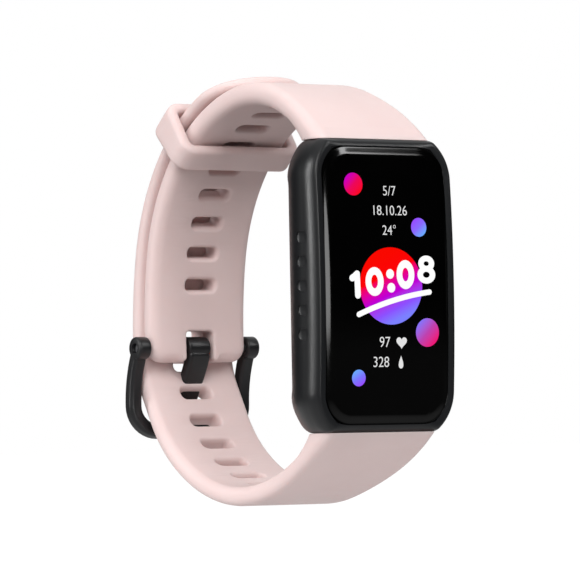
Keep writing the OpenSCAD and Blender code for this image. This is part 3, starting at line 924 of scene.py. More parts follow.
class FinishName(Enum):
    """The finishes on the object."""

    SILICONE = Finish("soft_pink_silicone", (226, 205, 203), (219, 196, 194), 0.5, bump=6e-6,
                      fine=5200, broad_share=0.15, specular=0.35, soften=0.3)
    CASE = Finish("satin_black_case", (23, 24, 26), (18, 19, 21), 0.28, bump=4e-6, fine=11000,
                  specular=0.34)
    COVER = Finish("matt_back_cover", (44, 45, 48), (38, 39, 42), 0.5, bump=7e-6, fine=9000)
    GLASS = Finish("polished_cover_glass", (1, 1, 1), (2, 2, 2), 0.07, bump=1e-7,
                   specular=0.25)
    WINDOW = Finish("smoked_sensor_window", (10, 11, 14), (14, 15, 18), 0.06, bump=1e-7,
                    coat=0.6)
    BUCKLE = Finish("satin_black_buckle", (24, 24, 26), (19, 19, 21), 0.33, bump=5e-6, fine=9000,
                    specular=0.4)
    STEEL = Finish("turned_steel", (172, 173, 176), (150, 151, 155), 0.28, 1.0, bump=2e-6,
                   fine=14000)
    NYLON = Finish("filled_nylon", (70, 71, 75), (58, 59, 63), 0.55)
    FOAM = Finish("gasket_foam", (58, 58, 60), (50, 50, 52), 0.8, bump=2e-5)
    RIBBON = Finish("amber_ribbon", (200, 134, 47), (182, 114, 36), 0.3, coat=0.3)
    BOARD = Finish("green_solder_mask", (31, 90, 58), (25, 76, 48), 0.35, coat=0.3)
    TIN = Finish("tinned_can", (185, 188, 192), (166, 169, 174), 0.32, 1.0)
    EPOXY = Finish("chip_epoxy", (27, 27, 29), (34, 34, 36), 0.55)
    POUCH = Finish("pouch_foil", (201, 204, 209), (184, 187, 193), 0.35, 0.8, bump=2e-5,
                   broad_share=0.8)
    MAGNESIUM = Finish("blasted_magnesium", (141, 144, 149), (126, 129, 134), 0.5, 1.0)
    TUNGSTEN = Finish("sintered_weight", (125, 115, 85), (108, 99, 74), 0.5, 1.0)
    GOLD = Finish("gold_pads", (207, 166, 74), (190, 148, 62), 0.25, 1.0, bump=1e-6)
    EMITTER = Finish("green_emitter", (79, 208, 107), (66, 190, 94), 0.2, coat=0.5)
    DIODE = Finish("bare_diode", (42, 51, 80), (34, 42, 68), 0.15, coat=0.3)


class Palette:
    """Builds each finish once."""

    def __init__(self) -> None:
        """Starts with the shared groups."""
        self.groups = SurfaceGroups()
        self.made: dict[FinishName, bpy.types.Material] = {}

    def get(self, name: FinishName) -> bpy.types.Material:
        """The material of a finish."""
        if name not in self.made:
            self.made[name] = name.value.material(self.groups)
        return self.made[name]


class Maker:
    """What every sub-assembly shares: its tools and how a piece is handed over."""

    def __init__(self, shop: Workshop, palette: Palette, plan: StrapPlan) -> None:
        """Keeps the shared tools.

        Args:
            shop: the node trees.
            palette: the finishes.
            plan: the straps' side view.
        """
        self.shop, self.palette, self.plan = shop, palette, plan

    def hand_over(self, obj: bpy.types.Object, body: str, material: bpy.types.Material,
                  slot: str, *nodes: str) -> bpy.types.Object:
        """Dresses a piece and ties it to the frame.

        Args:
            obj: the finished piece.
            body: the frame body that it moves with.
            material: its material.
            slot: the record's material slot; not used.
            nodes: the frame's nodes that it stands for.

        Returns:
            The piece.
        """
        obj.data.materials.clear()
        obj.data.materials.append(material)
        for polygon in obj.data.polygons:
            polygon.material_index = 0
        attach(obj, body)
        if nodes:
            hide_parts(*nodes)
        log.info("%s: %d faces on %s", obj.name, len(obj.data.polygons), body)
        return obj


# ---- straps --------------------------------------------------------------------------------
@dataclass
class Straps:
    """The two soft straps and the keeper loop.

    Args:
        maker: the shared tools.
        width: the straps' width behind the flare.
        end_width: their width at the case.
        side_round: how far the rounding of their edges reaches in.
        root: how far a strap runs on into the case before it is trimmed.
        slot_size: a slot's width and height.
        slot_pitch: the distance between slots.
        slot_corner: a slot's corner radius.
        flare_reach: a slot's flare on the wrist side, as reach out and reach in.
        rim: the same for its other side.
        tongue_slot: the distance of the slot nearest the tongue.
        last_slot: the distance of the 12 o'clock strap's last slot.
        notch_width: the width of the notch for the tongue.
        notch_depth: how far the notch reaches up past the pin.
        pin_overhang: how far the 12 o'clock strap runs on past the pin.
        tip_radius: radius of the tail's tip.
        bend_step: the distance between rows of points to bend on.
        keeper_wall: the keeper's wall.
        keeper_length: its length along the strap.
        keeper_at: the distance of its middle along the 12 o'clock strap.
    """

    maker: Maker
    width: float = 17.6
    end_width: float = 20.3
    side_round: float = 1.5
    root: float = 7.0
    slot_size: tuple[float, float] = (5.2, 1.75)
    slot_pitch: float = 5.1
    slot_corner: float = 0.7
    flare_reach: tuple[float, float] = (0.62, 1.15)
    rim: tuple[float, float] = (0.22, 0.22)
    tongue_slot: float = 56.4
    last_slot: float = 63.3
    notch_width: float = 5.0
    notch_depth: float = 2.6
    pin_overhang: float = 2.25
    tip_radius: float = 8.8
    bend_step: float = 0.8
    keeper_wall: float = 1.7
    keeper_length: float = 4.9
    keeper_at: float = 39.2

    def half_width(self, depth: float) -> float:
        """Half the strap's width at a depth behind the glass."""
        share = min(1.0, max(0.0, (depth - 3) / 17))
        wide = (self.end_width - self.width) * (1 + math.cos(math.pi * share)) / 2
        return (self.width + wide) / 2

    @staticmethod
    def flare(distance: float) -> float:
        """How much thicker the strap is on its inside near the case."""
        return 2.2 * max(0.0, 1 - distance / 9) ** 2

    def slot(self, distance: float, inner: Face) -> Edge:
        """One slot's edge, flared on the wrist side.

        Args:
            distance: its place along the strap.
            inner: which face lies on the wrist.

        Returns:
            The edge.
        """
        points, normals = round_rect(*self.slot_size, self.slot_corner, (0, distance),
                                     (8, 6, 3))
        count = len(points)
        flared, plain = [self.flare_reach] * count, [self.rim] * count
        top, bottom = (flared, plain) if inner is Face.TOP else (plain, flared)
        return Edge(points, [-n for n in normals], top, bottom)

    def rounding(self, thickness: float, points: Sequence[Vector],
                 rule: Callable[[Vector], float]) -> list[tuple[float, float]]:
        """The rounding at each point of an outline.

        Args:
            thickness: the strap's thickness.
            points: the outline.
            rule: how far the rounding reaches in at a point.

        Returns:
            Reach in and down for each point.
        """
        reach = [rule(p) for p in points]
        return [(r, min(r, thickness / 2 - 0.02)) for r in reach]

    def upper_edge(self, end: float) -> Edge:
        """The 12 o'clock strap's outline, with the notch for the tongue.

        Args:
            end: the distance of its last point.

        Returns:
            The edge.
        """
        half, corner, mouth, inner = self.width / 2, 2.3, 0.9, 0.6
        notch = self.notch_width / 2
        notch_top = end - self.pin_overhang - self.notch_depth
        side = end - corner + self.root - self.side_round
        across = half - corner - notch - mouth
        down = end - notch_top - mouth - inner
        arcs = [Arc(2 * (half - self.side_round)), Arc(self.side_round, 90), Arc(side),
                Arc(corner, 90), Arc(across), Arc(mouth, 90), Arc(down), Arc(inner, -90),
                Arc(2 * (notch - inner)), Arc(inner, -90), Arc(down), Arc(mouth, 90),
                Arc(across), Arc(corner, 90), Arc(side), Arc(self.side_round, 90)]
        steps = [12, 4, 90, 10, 8, 6, 8, 5, 6, 5, 8, 6, 8, 10, 90, 4]
        start = (-half + self.side_round, -self.root)
        points, normals = Path(start, 0, arcs).loop(steps)
        thickness = self.maker.plan.upper_thickness

        def reach(point: Vector) -> float:
            """Full round at the end, tight in the notch."""
            if abs(point.x) < notch + 0.05:
                return 0.4
            end_share = ease((point.y - (end - 2.6)) / 1.6)
            out = ease((abs(point.x) - notch) / 1.6)
            return mix(0.4, mix(self.side_round, thickness / 2 - 0.02, end_share), out)

        rounding = self.rounding(thickness, points, reach)
        return Edge(points, normals, rounding, list(rounding))

    def lower_edge(self, end: float) -> Edge:
        """The 6 o'clock strap's outline, with its round tip."""
        half = self.width / 2
        side = end - self.tip_radius + self.root - self.side_round
        arcs = [Arc(2 * (half - self.side_round)), Arc(self.side_round, 90), Arc(side),
                Arc(self.tip_radius, 180), Arc(side), Arc(self.side_round, 90)]
        points, normals = Path((-half + self.side_round, -self.root), 0, arcs).loop(
            [12, 4, 150, 48, 150, 4])
        rounding = self.rounding(self.maker.plan.lower_thickness, points,
                                 lambda _: self.side_round - 0.2)
        return Edge(points, normals, rounding, list(rounding))

    def bent(self, mesh: bmesh.types.BMesh, name: str, path: Path,
             stand: Callable[[float, float], float], top_end: bool) -> bpy.types.Object:
        """Gives a flat strap its thickness rule, bends it and trims it at the case.

        Args:
            mesh: the flat strap.
            name: the piece's name.
            path: the path that it follows.
            stand: from distance and flat height to the height off the path.
            top_end: whether it meets the case's 12 o'clock end.

        Returns:
            The strap.
        """
        def settle(point: Vector) -> Vector:
            """Flat strap to flat strap of the right thickness."""
            return Vector((point.x, point.y, stand(point.y, point.z))) * MM

        obj = self.maker.shop.wrapped(finished(mesh, name, settle), path)
        bent = bmesh.new()
        bent.from_mesh(obj.data)
        for vert in bent.verts:
            depth = vert.co.y / MM + GLASS_DEPTH
            vert.co.x *= self.half_width(depth) / (self.width / 2)
        level = self.maker.plan.case_end - 0.02
        sign = 1 if top_end else -1
        cut = bmesh.ops.bisect_plane(
            bent, geom=bent.verts[:] + bent.edges[:] + bent.faces[:], dist=1e-8,
            plane_co=(0, 0, sign * level * MM), plane_no=(0, 0, -sign))
        near = [f for f in bent.faces if f.calc_center_median().y < (12 - GLASS_DEPTH) * MM
                and sign * f.calc_center_median().z < level * MM]
        bmesh.ops.delete(bent, geom=near, context="FACES")
        rim = [e for e in bent.edges if len(e.link_faces) == 1]
        bmesh.ops.contextual_create(bent, geom=rim)
        bmesh.ops.delete(bent, geom=[v for v in bent.verts if not v.link_faces],
                         context="VERTS")
        log.debug("%s trimmed along %d edges", name, len(cut["geom_cut"]))
        bpy.data.objects.remove(obj)
        return finished(bent, name, lambda p: p.copy(), 45)

    def upper(self) -> bpy.types.Object:
        """Builds the 12 o'clock strap."""
        plan = self.maker.plan
        path = plan.upper
        end = path.length + self.pin_overhang
        slots = [self.slot(self.last_slot - k * self.slot_pitch, Face.BOTTOM) for k in range(9)]
        plate = Plate(plan.upper_thickness, self.upper_edge(end), slots)
        mesh = plate.build(self.bends(end))
        half = plan.upper_thickness / 2

        def stand(distance: float, height: float) -> float:
            """Thicker on the inside near the case."""
            return height * (1 + self.flare(distance) / half) if height < 0 else height

        return self.bent(mesh, "strap_12_oclock", path, stand, True)

    def lower(self) -> bpy.types.Object:
        """Builds the 6 o'clock strap."""
        plan = self.maker.plan
        path = plan.lower
        slots = [self.slot(self.tongue_slot + k * self.slot_pitch, Face.TOP)
                 for k in range(-5, 10)]
        plate = Plate(plan.lower_thickness, self.lower_edge(path.length), slots)
        mesh = plate.build(self.bends(path.length))
        full, half, tail = plan.lower_thickness, plan.lower_thickness / 2, plan.tail_from

        def stand(distance: float, height: float) -> float:
            """Thicker inside near the case, and thinner outside along the tail."""
            share = max(0.0, distance - tail) / (path.length - tail)
            thick = full - (full - plan.tip_thickness) * share
            low, high = half - thick, half + self.flare(distance)
            return low + (high - low) * (height + half) / full

        return self.bent(mesh, "strap_6_oclock", path, stand, False)

    def bends(self, end: float) -> list[float]:
        """The places where a flat strap gets rows of points to bend on."""
        first = -self.root + 0.37
        return [first + self.bend_step * i for i in range(int((end + self.root) / self.bend_step))]

    def keeper(self) -> bpy.types.Object:
        """Builds the keeper loop as a rounded band round both layers."""
        plan = self.maker.plan
        low = -plan.upper_thickness / 2 - 0.25
        high = plan.upper_thickness / 2 + plan.layer_gap + plan.tip_thickness + 0.5 + 0.25
        wall = self.keeper_wall
        points, normals = round_rect(self.width + 0.5 + wall, high - low + wall, 1.5,
                                     (0, (low + high) / 2), (22, 8, 8))
        profile, _ = round_rect(wall, self.keeper_length, 0.72, (0, 0), (3, 5, 4))
        rings = [[Vector((p.x + n.x * q.x, self.keeper_at + q.y, p.y + n.y * q.x))
                  for q in profile] for p, n in zip(points, normals)]
        obj = finished(rings_mesh(rings, True), "keeper_band")
        return self.maker.shop.wrapped(obj, plan.upper)

    def build(self) -> None:
        """Builds and hands over all three."""
        silicone = self.maker.palette.get(FinishName.SILICONE)
        self.maker.hand_over(self.upper(), CASE_BODY, silicone, "silicone", "upper_strap")
        self.maker.hand_over(self.lower(), CASE_BODY, silicone, "silicone", "lower_strap")
        self.maker.hand_over(self.keeper(), "keeper", silicone, "silicone", "keeper_loop")


# ---- buckle ----------------------------------------------------------------------------------
@dataclass
class Buckle:
    """The D-shaped buckle frame, its pin and the tongue.

    Args:
        maker: the shared tools.
        width: the width over the arms.
        arm: the width of an arm and of the crossbar.
        thickness: the frame's thickness.
        corner: radius of its two outer corners.
        eye: radius of the eyes round the pin.
        pin: radius of the pin.
        frame_arc: the bow of the frame, seen from the side.
        tongue_width: the tongue's width at its barrel.
        tongue_arcs: the tongue's bends, from the barrel to the tip.
    """

    maker: Maker
    width: float = 22.3
    arm: float = 2.15
    thickness: float = 2.1
    corner: float = 5.0
    eye: float = 1.75
    pin: float = 0.75
    frame_arc: Arc = field(default_factory=lambda: Arc(18.2, -45))
    tongue_width: float = 4.0
    tongue_arcs: tuple[Arc, ...] = (Arc(14, 14), Arc(5.2), Arc(10, -22), Arc(1))

    @property
    def pin_at(self) -> Vector:
        """The pin's place, depth and height."""
        return self.maker.plan.upper.end

    def at_pin(self, x: float = 0.0) -> Callable[[Vector], Vector]:
        """Moves a part made round the origin onto the pin's axis."""
        pin = self.pin_at
        return lambda p: in_ring(p.x + x, p.y + pin.x, p.z + pin.y)

    def frame(self) -> bpy.types.Object:
        """Builds the frame: a bowed D with an eye at each end, drilled for the pin."""
        path = Path(self.pin_at, -61.5, [self.frame_arc])
        side = (self.width - self.arm) / 2
        reach = path.length - self.arm / 2
        bend = self.corner - self.arm / 2
        line = Path((-side, 0), 90, [Arc(reach - bend), Arc(bend, -90), Arc(2 * (side - bend)),
                                     Arc(bend, -90), Arc(reach - bend)])
        stops = []
        for arc, count, (_, _, walked) in zip(line.arcs, (14, 10, 16, 10, 14), line.knots):
            stops += [walked + arc.length * i / count for i in range(count)]
        stops.append(line.length)
        profile, _ = round_rect(self.arm, self.thickness, 0.62, (0, 0), (4, 5, 4))
        rings = []
        for stop in stops:
            point, heading = line.at(stop)
            out = left(heading)
            rings.append([Vector((point.x + out.x * q.x, point.y + out.y * q.x, q.y))
                          for q in profile])
        obj = finished(rings_mesh(rings, False), "buckle_d_frame")
        self.maker.shop.wrapped(obj, path, 3, 3)
        for sign in (-1, 1):
            eye = finished(rod_mesh(self.eye, self.arm, 0.35), "eye", self.at_pin(sign * side))
            combined(obj, eye, "UNION")
        bore = finished(rod_mesh(self.pin + 0.03, 2 * self.width, 0.1), "bore", self.at_pin())
        combined(obj, bore, "DIFFERENCE")
        return self.crisp(obj)

    @staticmethod
    def crisp(obj: bpy.types.Object, sharp: float = 32.0) -> bpy.types.Object:
        """Cleans a cut mesh and shades it smooth up to a turn in degrees."""
        mesh = bmesh.new()
        mesh.from_mesh(obj.data)
        bmesh.ops.dissolve_degenerate(mesh, edges=mesh.edges[:], dist=1e-7)
        name = obj.name
        bpy.data.objects.remove(obj)
        return finished(mesh, name, lambda p: p.copy(), sharp)

    def tongue(self) -> bpy.types.Object:
        """Builds the tongue: a bent flat bar that grows out of a barrel."""
        pin = self.pin_at
        path = Path((pin.x - 1, pin.y - 0.4), -74, self.tongue_arcs)
        end = path.length + 0.75
        half = self.tongue_width / 2
        arcs = [Arc(2 * half - 1.6), Arc(0.8, 90), Arc(end - 2.2), Arc(1.4, 90),
                Arc(2 * half - 2.8), Arc(1.4, 90), Arc(end - 2.2), Arc(0.8, 90)]
        points, normals = Path((-half + 0.8, 0), 0, arcs).loop([4, 3, 26, 8, 4, 8, 26, 3])
        rounding = [(0.62, 0.62)] * len(points)
        plate = Plate(1.8, Edge(points, normals, rounding, rounding), (), 5)
        mesh = plate.build([0.5 * i + 0.21 for i in range(int(end * 2))])

        def taper(point: Vector) -> Vector:
            """Thinner and a touch narrower towards the tip."""
            share = max(0.0, point.y) / end
            return Vector((point.x * (1 - 0.1 * share), point.y,
                           point.z * (1.9 - 0.4 * share) / 1.8)) * MM

        obj = self.maker.shop.wrapped(finished(mesh, "buckle_tongue_bar", taper), path, 2, 3)
        barrel = finished(rod_mesh(1.72, self.tongue_width, 0.4), "barrel", self.at_pin())
        combined(obj, barrel, "UNION")
        bore = finished(rod_mesh(self.pin + 0.06, 8, 0.1), "bore", self.at_pin())
        combined(obj, bore, "DIFFERENCE")
        return self.crisp(obj)

    def build(self) -> None:
        """Builds and hands over the buckle."""
        black = self.maker.palette.get(FinishName.BUCKLE)
        steel = self.maker.palette.get(FinishName.STEEL)
        self.maker.hand_over(self.frame(), "buckle_frame", black, "buckle_plastic",
                             "buckle_frame")
        self.maker.hand_over(self.tongue(), "buckle_tongue", black, "buckle_plastic",
                             "buckle_tongue")
        pin = finished(rod_mesh(self.pin, self.width - 1, 0.12), "buckle_pin_rod", self.at_pin())
        self.maker.hand_over(pin, "buckle_frame", steel, "steel", "buckle_pin")


# ---- case --------------------------------------------------------------------------------------
@dataclass
class Case:
    """The case shell, the cover glass, the back cover, its window and the side button.

    Args:
        maker: the shared tools.
        half_width: half the case's width.
        half_height: half its height.
        corner: corner radius of its outline before the ends are trimmed.
        kink: radius where the trimmed end meets the corner.
        depth: how far back the case reaches at its middle.
        rim_level: the depth of the rim beside the glass.
        rim_deep: how far the rim's roll reaches back on the long sides.
        rim_tight: radius of the roll's tight first part.
        rim_turn: degrees turned by that tight part.
        bow_from: the depth at which the long sides start to roll to the back.
        bow_radius: radius of that roll.
        rim_seat: the depth of the back cover's seat.
        end_round: radius of the rim on the short ends.
        end_drop: the depth of the rim there.
        end_back: how far the short ends' back roll reaches in and down.
        glass: the glass's width, height and corner radius.
        glass_round: its edge's reach in and down.
        pill: a pill's width, length and depth.
        pill_depth: how far back the pills lie.
        pill_count: how many pills.
        pill_step: the distance between them.
        cover_hole: the hole for the back cover, as width, height and corner radius.
        cavity: the space for the insides, likewise.
        panel_hole: the hole for the display panel, likewise.
        seat_depth: the depth of the glass's seat.
        ledge: the depths of the panel ledge's two steps.
        button_at: the button's depth and height.
        button_size: the button's depth, height and corner radius.
        button_seat: the same for its seat.
        cover_size: the back cover's width, height and corner radius.
        pad_at: a charging pad's distance from the middle line, and its height.
        pad_hole: the diameter of its hole.
        tower_size: the sensor platform's width, height and corner radius.
        tower_hole: the same for its window's hole.
        window_size: the same for the window.
        full_depth: how far back the platform reaches.
    """

    maker: Maker
    half_width: float = 12.7
    half_height: float = 21.5
    corner: float = 7.5
    kink: float = 0.9
    depth: float = 9.5
    rim_level: float = 0.15
    rim_deep: float = 2.4
    rim_tight: float = 0.35
    rim_turn: float = 68.0
    bow_from: float = 4.0
    bow_radius: float = 9.0
    rim_seat: float = 8.6
    end_round: float = 1.3
    end_drop: float = 0.22
    end_back: tuple[float, float] = (1.9, 1.9)
    glass: tuple[float, float, float] = (22.0, 40.6, 4.5)
    glass_round: tuple[float, float] = (1.3, 0.36)
    pill: tuple[float, float, float] = (1.7, 2.7, 0.24)
    pill_depth: float = 3.85
    pill_count: int = 5
    pill_step: float = 3.55
    cover_hole: tuple[float, float, float] = (22.8, 34.8, 2.9)
    cavity: tuple[float, float, float] = (20.8, 33.2, 2.2)
    panel_hole: tuple[float, float, float] = (20.2, 36.6, 2.5)
    seat_depth: float = 1.75
    ledge: tuple[float, float] = (2.7, 2.8)
    button_at: tuple[float, float] = (4.9, 6.0)
    button_size: tuple[float, float, float] = (2.4, 8.0, 1.15)
    button_seat: tuple[float, float, float] = (2.7, 8.3, 1.3)
    cover_size: tuple[float, float, float] = (22.6, 34.7, 2.85)
    pad_at: tuple[float, float] = (1.9, -14.0)
    pad_hole: float = 2.4
    tower_size: tuple[float, float, float] = (17.4, 21.4, 6.0)
    tower_hole: tuple[float, float, float] = (10.4, 13.6, 4.0)
    window_size: tuple[float, float, float] = (10.3, 13.5, 3.95)
    full_depth: float = 11.45

    def outline(self) -> tuple[list[Vector], list[Vector]]:
        """The case seen from the front, and the directions out of it."""
        straight = 2 * (self.half_height + 1.6 - self.corner)
        rise = self.half_height - straight / 2 - self.kink
        turn = math.degrees(math.asin(rise / (self.corner - self.kink)))
        flat = (self.half_width - self.corner * (1 - math.cos(math.radians(turn)))
                - self.kink * math.cos(math.radians(turn)))
        half = [Arc(self.corner, turn), Arc(self.kink, 90 - turn), Arc(2 * flat),
                Arc(self.kink, 90 - turn), Arc(self.corner, turn)]
        arcs = [Arc(straight), *half, Arc(straight), *half]
        steps = [24, 16, 5, 16, 5, 16] * 2
        return Path((self.half_width, -straight / 2), 90, arcs).loop(steps)

    @staticmethod
    def nearest(point: Vector, width: float, height: float, radius: float) -> Vector:
        """The point of a centred round-cornered rectangle that is nearest to another.

        Args:
            point: a point outside the rectangle's core.
            width: the rectangle's width.
            height: its height.
            radius: its corner radius.

        Returns:
            The nearest point.
        """
        core_x, core_y = width / 2 - radius, height / 2 - radius
        core = Vector((min(core_x, max(-core_x, point.x)), min(core_y, max(-core_y, point.y))))
        away = point - core
        return core + away.normalized() * radius if away.length > 1e-9 else core

    @staticmethod
    def bow(height: float) -> float:
        """How far the front lies back at a height."""
        return height * height / (2 * FRONT_RADIUS)

    @staticmethod
    def back_bow(height: float) -> float:
        """How far the back lies back at a height."""
        return height * height / (2 * BACK_RADIUS)

    def back_level(self, x: float, height: float) -> float:
        """How far back the case reaches at a place across and up."""
        level = self.depth + self.back_bow(height)
        out = abs(x) - (self.half_width - self.bow_radius)
        if out <= 0:
            return level
        return min(level, self.bow_from + math.sqrt(max(0.0, self.bow_radius ** 2 - out ** 2)))

    def wall_level(self, inset: float, height: float, share: float) -> float:
        """How far back the shell reaches near its outline.

        Args:
            inset: the distance in from the outline.
            height: the place up the case.
            share: 1 on the long sides, 0 on the short ends.

        Returns:
            The depth of the back there.
        """
        level = self.depth + self.back_bow(height)
        rest = max(0.0, self.bow_radius - inset)
        side = min(level, self.bow_from + math.sqrt(self.bow_radius ** 2 - rest ** 2))
        across, deep = self.end_back
        into = min(1.0, inset / across)
        end = level - deep * (1 - math.sqrt(1 - (1 - into) ** 2))
        return mix(end, side, share)

    def side_rim(self, reach: float) -> list[tuple[float, float]]:
        """The long sides' rim from the glass seat to the wall.

        Args:
            reach: how far the seat lies inside the wall.

        Returns:
            Distance in from the wall and depth for each step.
        """
        turn = math.radians(self.rim_turn)
        wide = ((self.rim_deep - self.rim_tight * (1 - math.cos(turn))) / math.cos(turn))
        across = self.rim_tight * math.sin(turn) + wide * (1 - math.sin(turn))
        steps = [(reach, self.rim_level + 0.1), (mix(across, reach, 0.4), self.rim_level + 0.02)]
        for degrees in (0, 16, 32, 48, 65, 72, 79, 85, 90):
            angle = math.radians(degrees)
            tight, rest = min(angle, turn), max(angle, turn)
            inset = (across - self.rim_tight * math.sin(tight)
                     - wide * (math.sin(rest) - math.sin(turn)))
            deep = (self.rim_tight * (1 - math.cos(tight))
                    + wide * (math.cos(turn) - math.cos(rest)))
            steps.append((inset, self.rim_level + deep))
        return steps

    def end_rim(self, reach: float) -> list[tuple[float, float]]:
        """The short ends' rim, as distance in from the end and depth for each step."""
        start = math.asin(max(0.0, 1 - reach / self.end_round))
        steps = []
        for step in range(11):
            angle = mix(start, math.pi / 2, step / 10)
            steps.append((self.end_round * (1 - math.sin(angle)),
                          self.end_drop + self.end_round * (1 - math.cos(angle))))
        return steps

    def shell(self) -> bpy.types.Object:
        """Builds the shell as rings from the glass seat round the outside to the back."""
        points, _ = self.outline()
        width, height, radius = self.glass
        seat = [self.nearest(p, width + 0.2, height + 0.2, radius + 0.1) for p in points]
        cover = [self.nearest(p, *self.cover_hole) for p in points]
        cavity = [self.nearest(p, *self.cavity) for p in points]
        window = [self.nearest(p, *self.panel_hole) for p in points]
        shares = [ease((abs(p.x) - 6.5) / 5.6) for p in points]
        rings: list[list[Vector]] = [[] for _ in range(11)]

        def flat_ring(loop: Sequence[Vector], depth: float) -> None:
            """Adds a level ring."""
            rings.append([in_ring(p.x, depth, p.y) for p in loop])

        for outer, inner, share in zip(points, seat, shares):
            reach = (inner - outer).length
            for ring, side, end in zip(rings, self.side_rim(reach), self.end_rim(reach)):
                spot = outer + (inner - outer) * min(1.0, mix(end[0], side[0], share) / reach)
                depth = mix(end[1], side[1], share) + self.bow(spot.y)
                ring.append(in_ring(spot.x, depth, spot.y))
        front = rings[-1]
        for step in range(1, 5):
            ring = []
            for spot, outer, share in zip(front, points, shares):
                low = spot.y / MM + GLASS_DEPTH
                high = self.wall_level(0.0, outer.y, share)
                ring.append(in_ring(outer.x, mix(low, max(low, high), step / 4), outer.y))
            rings.append(ring)
        for step in range(1, 11):
            ring = []
            for outer, inner, share in zip(points, cover, shares):
                part = (1 - math.cos(math.radians(90 * step / 10)))
                spot = outer + (inner - outer) * part
                level = self.wall_level((spot - outer).length, spot.y, share)
                ring.append(in_ring(spot.x, level, spot.y))
            rings.append(ring)
        for loop, depth in ((cover, self.rim_seat), (cavity, self.rim_seat),
                            (cavity, self.ledge[1]), (window, self.ledge[0]),
                            (window, self.seat_depth), (seat, self.seat_depth)):
            flat_ring(loop, depth)
        obj = finished(rings_mesh(rings, True), "case_shell_moulded", lambda p: p.copy(), 40)
        return self.marked(obj)

    def marked(self, obj: bpy.types.Object) -> bpy.types.Object:
        """Sinks a row of plain pills into the left wall and a seat for the button."""
        width, length, sunk = self.pill
        points, normals = round_rect(length, width, width / 2 - 0.01, (0, 0), (4, 8, 2))
        edge = [(0.12, 0.12)] * len(points)
        plate = Plate(2 * sunk, Edge(points, normals, edge, edge), (), 3)
        start = -(self.pill_count - 1) / 2 * self.pill_step

        def on_wall(point: Vector) -> Vector:
            """Stands a pill on the left wall's lowest place."""
            return in_ring(-self.half_width + point.z, self.pill_depth + point.x, point.y)

        pills = finished(plate.build(), "pill", on_wall)
        self.maker.shop.row.run(pills, Count=self.pill_count, Start=(0, 0, start * MM),
                                Step=(0, 0, self.pill_step * MM))
        combined(obj, pills, "DIFFERENCE")
        points, normals = round_rect(*self.button_seat, (0, 0), (2, 10, 8))
        edge = [(0.1, 0.1)] * len(points)
        seat = Plate(1.5, Edge(points, normals, edge, edge), (), 2)
        tool = finished(seat.build(), "seat",
                        lambda p: self.on_right(p, self.half_width))
        combined(obj, tool, "DIFFERENCE")
        return Buckle.crisp(obj, 35)

    def on_right(self, point: Vector, across: float) -> Vector:
        """Stands a flat part's point on the right wall, where the button is."""
        deep, up = self.button_at
        return in_ring(across + point.z, deep + point.x, up + point.y)

    def cover_glass(self) -> bpy.types.Object:
        """Builds the front glass with its rolled edge."""
        points, normals = round_rect(*self.glass, (0, 0), (24, 16, 40))
        top = [self.glass_round] * len(points)
        bottom = [(0.1, 0.1)] * len(points)
        thick = 1.5
        plate = Plate(thick, Edge(points, normals, top, bottom), (), 8)
        mesh = plate.build([-19.7 + 0.8 * i for i in range(50)])

        def place(point: Vector) -> Vector:
            """Bows the front, rolls its edge evenly and keeps the back flat."""
            share = (point.z + thick / 2) / thick
            rolled = max(0.0, point.z - thick / 2 + self.glass_round[1]) / self.glass_round[1]
            if rolled > 0:
                inset = 1 - math.sqrt(max(0.0, 1 - rolled * rolled))
                point = Vector((point.x, point.y, thick / 2
                                - self.glass_round[1] * (1 - inset) ** 1.6))
            depth = (thick / 2 - point.z) - 0.012
            return in_ring(point.x, mix(min(depth, 1.49), depth + self.bow(point.y), share),
                           point.y)

        return finished(mesh, "cover_glass_pane", place, 40)

    def button(self) -> bpy.types.Object:
        """Builds the side button with a softly rolled rim."""
        points, normals = round_rect(*self.button_size, (0, 0), (2, 10, 8))
        top = [(0.35, 0.3)] * len(points)
        bottom = [(0.08, 0.08)] * len(points)
        plate = Plate(1.0, Edge(points, normals, top, bottom), (), 5)
        return finished(plate.build(), "button_cap_moulded",
                        lambda p: self.on_right(p, self.half_width + 0.1))

    def platform(self) -> bpy.types.Object:
        """Builds the back cover: a bowed plate with a rolled sensor platform."""
        points, normals = round_rect(*self.cover_size, (0, 0), (20, 10, 30))
        edge = [(0.12, 0.12)] * len(points)
        top = [(mix(0.12, 0.5, abs(n.x)), mix(0.12, 0.6, abs(n.x))) for n in normals]
        pads = []
        for x in (-self.pad_at[0], self.pad_at[0]):
            middle = Vector((x, self.pad_at[1]))
            ring = oval(middle, self.pad_hole, self.pad_hole, 32)
            out = [-(p - middle).normalized() for p in ring]
            rim = [(0.1, 0.1)] * len(ring)
            pads.append(Edge(ring, out, rim, rim))
        thick = 0.75
        plate = Plate(thick, Edge(points, normals, top, edge), pads, 5)
        mesh = plate.build([-17 + 1.1 * i for i in range(32)])

        def place(point: Vector) -> Vector:
            """Bows the back."""
            share = (point.z + thick / 2) / thick
            level = 8.75 + share * (thick + self.back_bow(point.y))
            return in_ring(point.x, min(level, self.back_level(point.x, point.y)), point.y)

        sheet = finished(mesh, "back_cover_moulded", place, 40)
        points, normals = round_rect(*self.tower_size, (0, 0), (14, 14, 16))
        hole, out = round_rect(*self.tower_hole, (0, 0), (8, 10, 10))
        top = [(0.85, 0.75)] * len(points)
        bottom = [(0.1, 0.1)] * len(points)
        rim = [(0.15, 0.12)] * len(hole)
        tall = 2.6
        step = Plate(tall, Edge(points, normals, top, bottom),
                     [Edge(hole, [-n for n in out], rim, rim)], 6)
        tower = finished(step.build(), "tower",
                         lambda p: in_ring(p.x, self.full_depth - tall / 2 + p.z, p.y), 40)
        combined(sheet, tower, "UNION")
        return Buckle.crisp(sheet, 35)

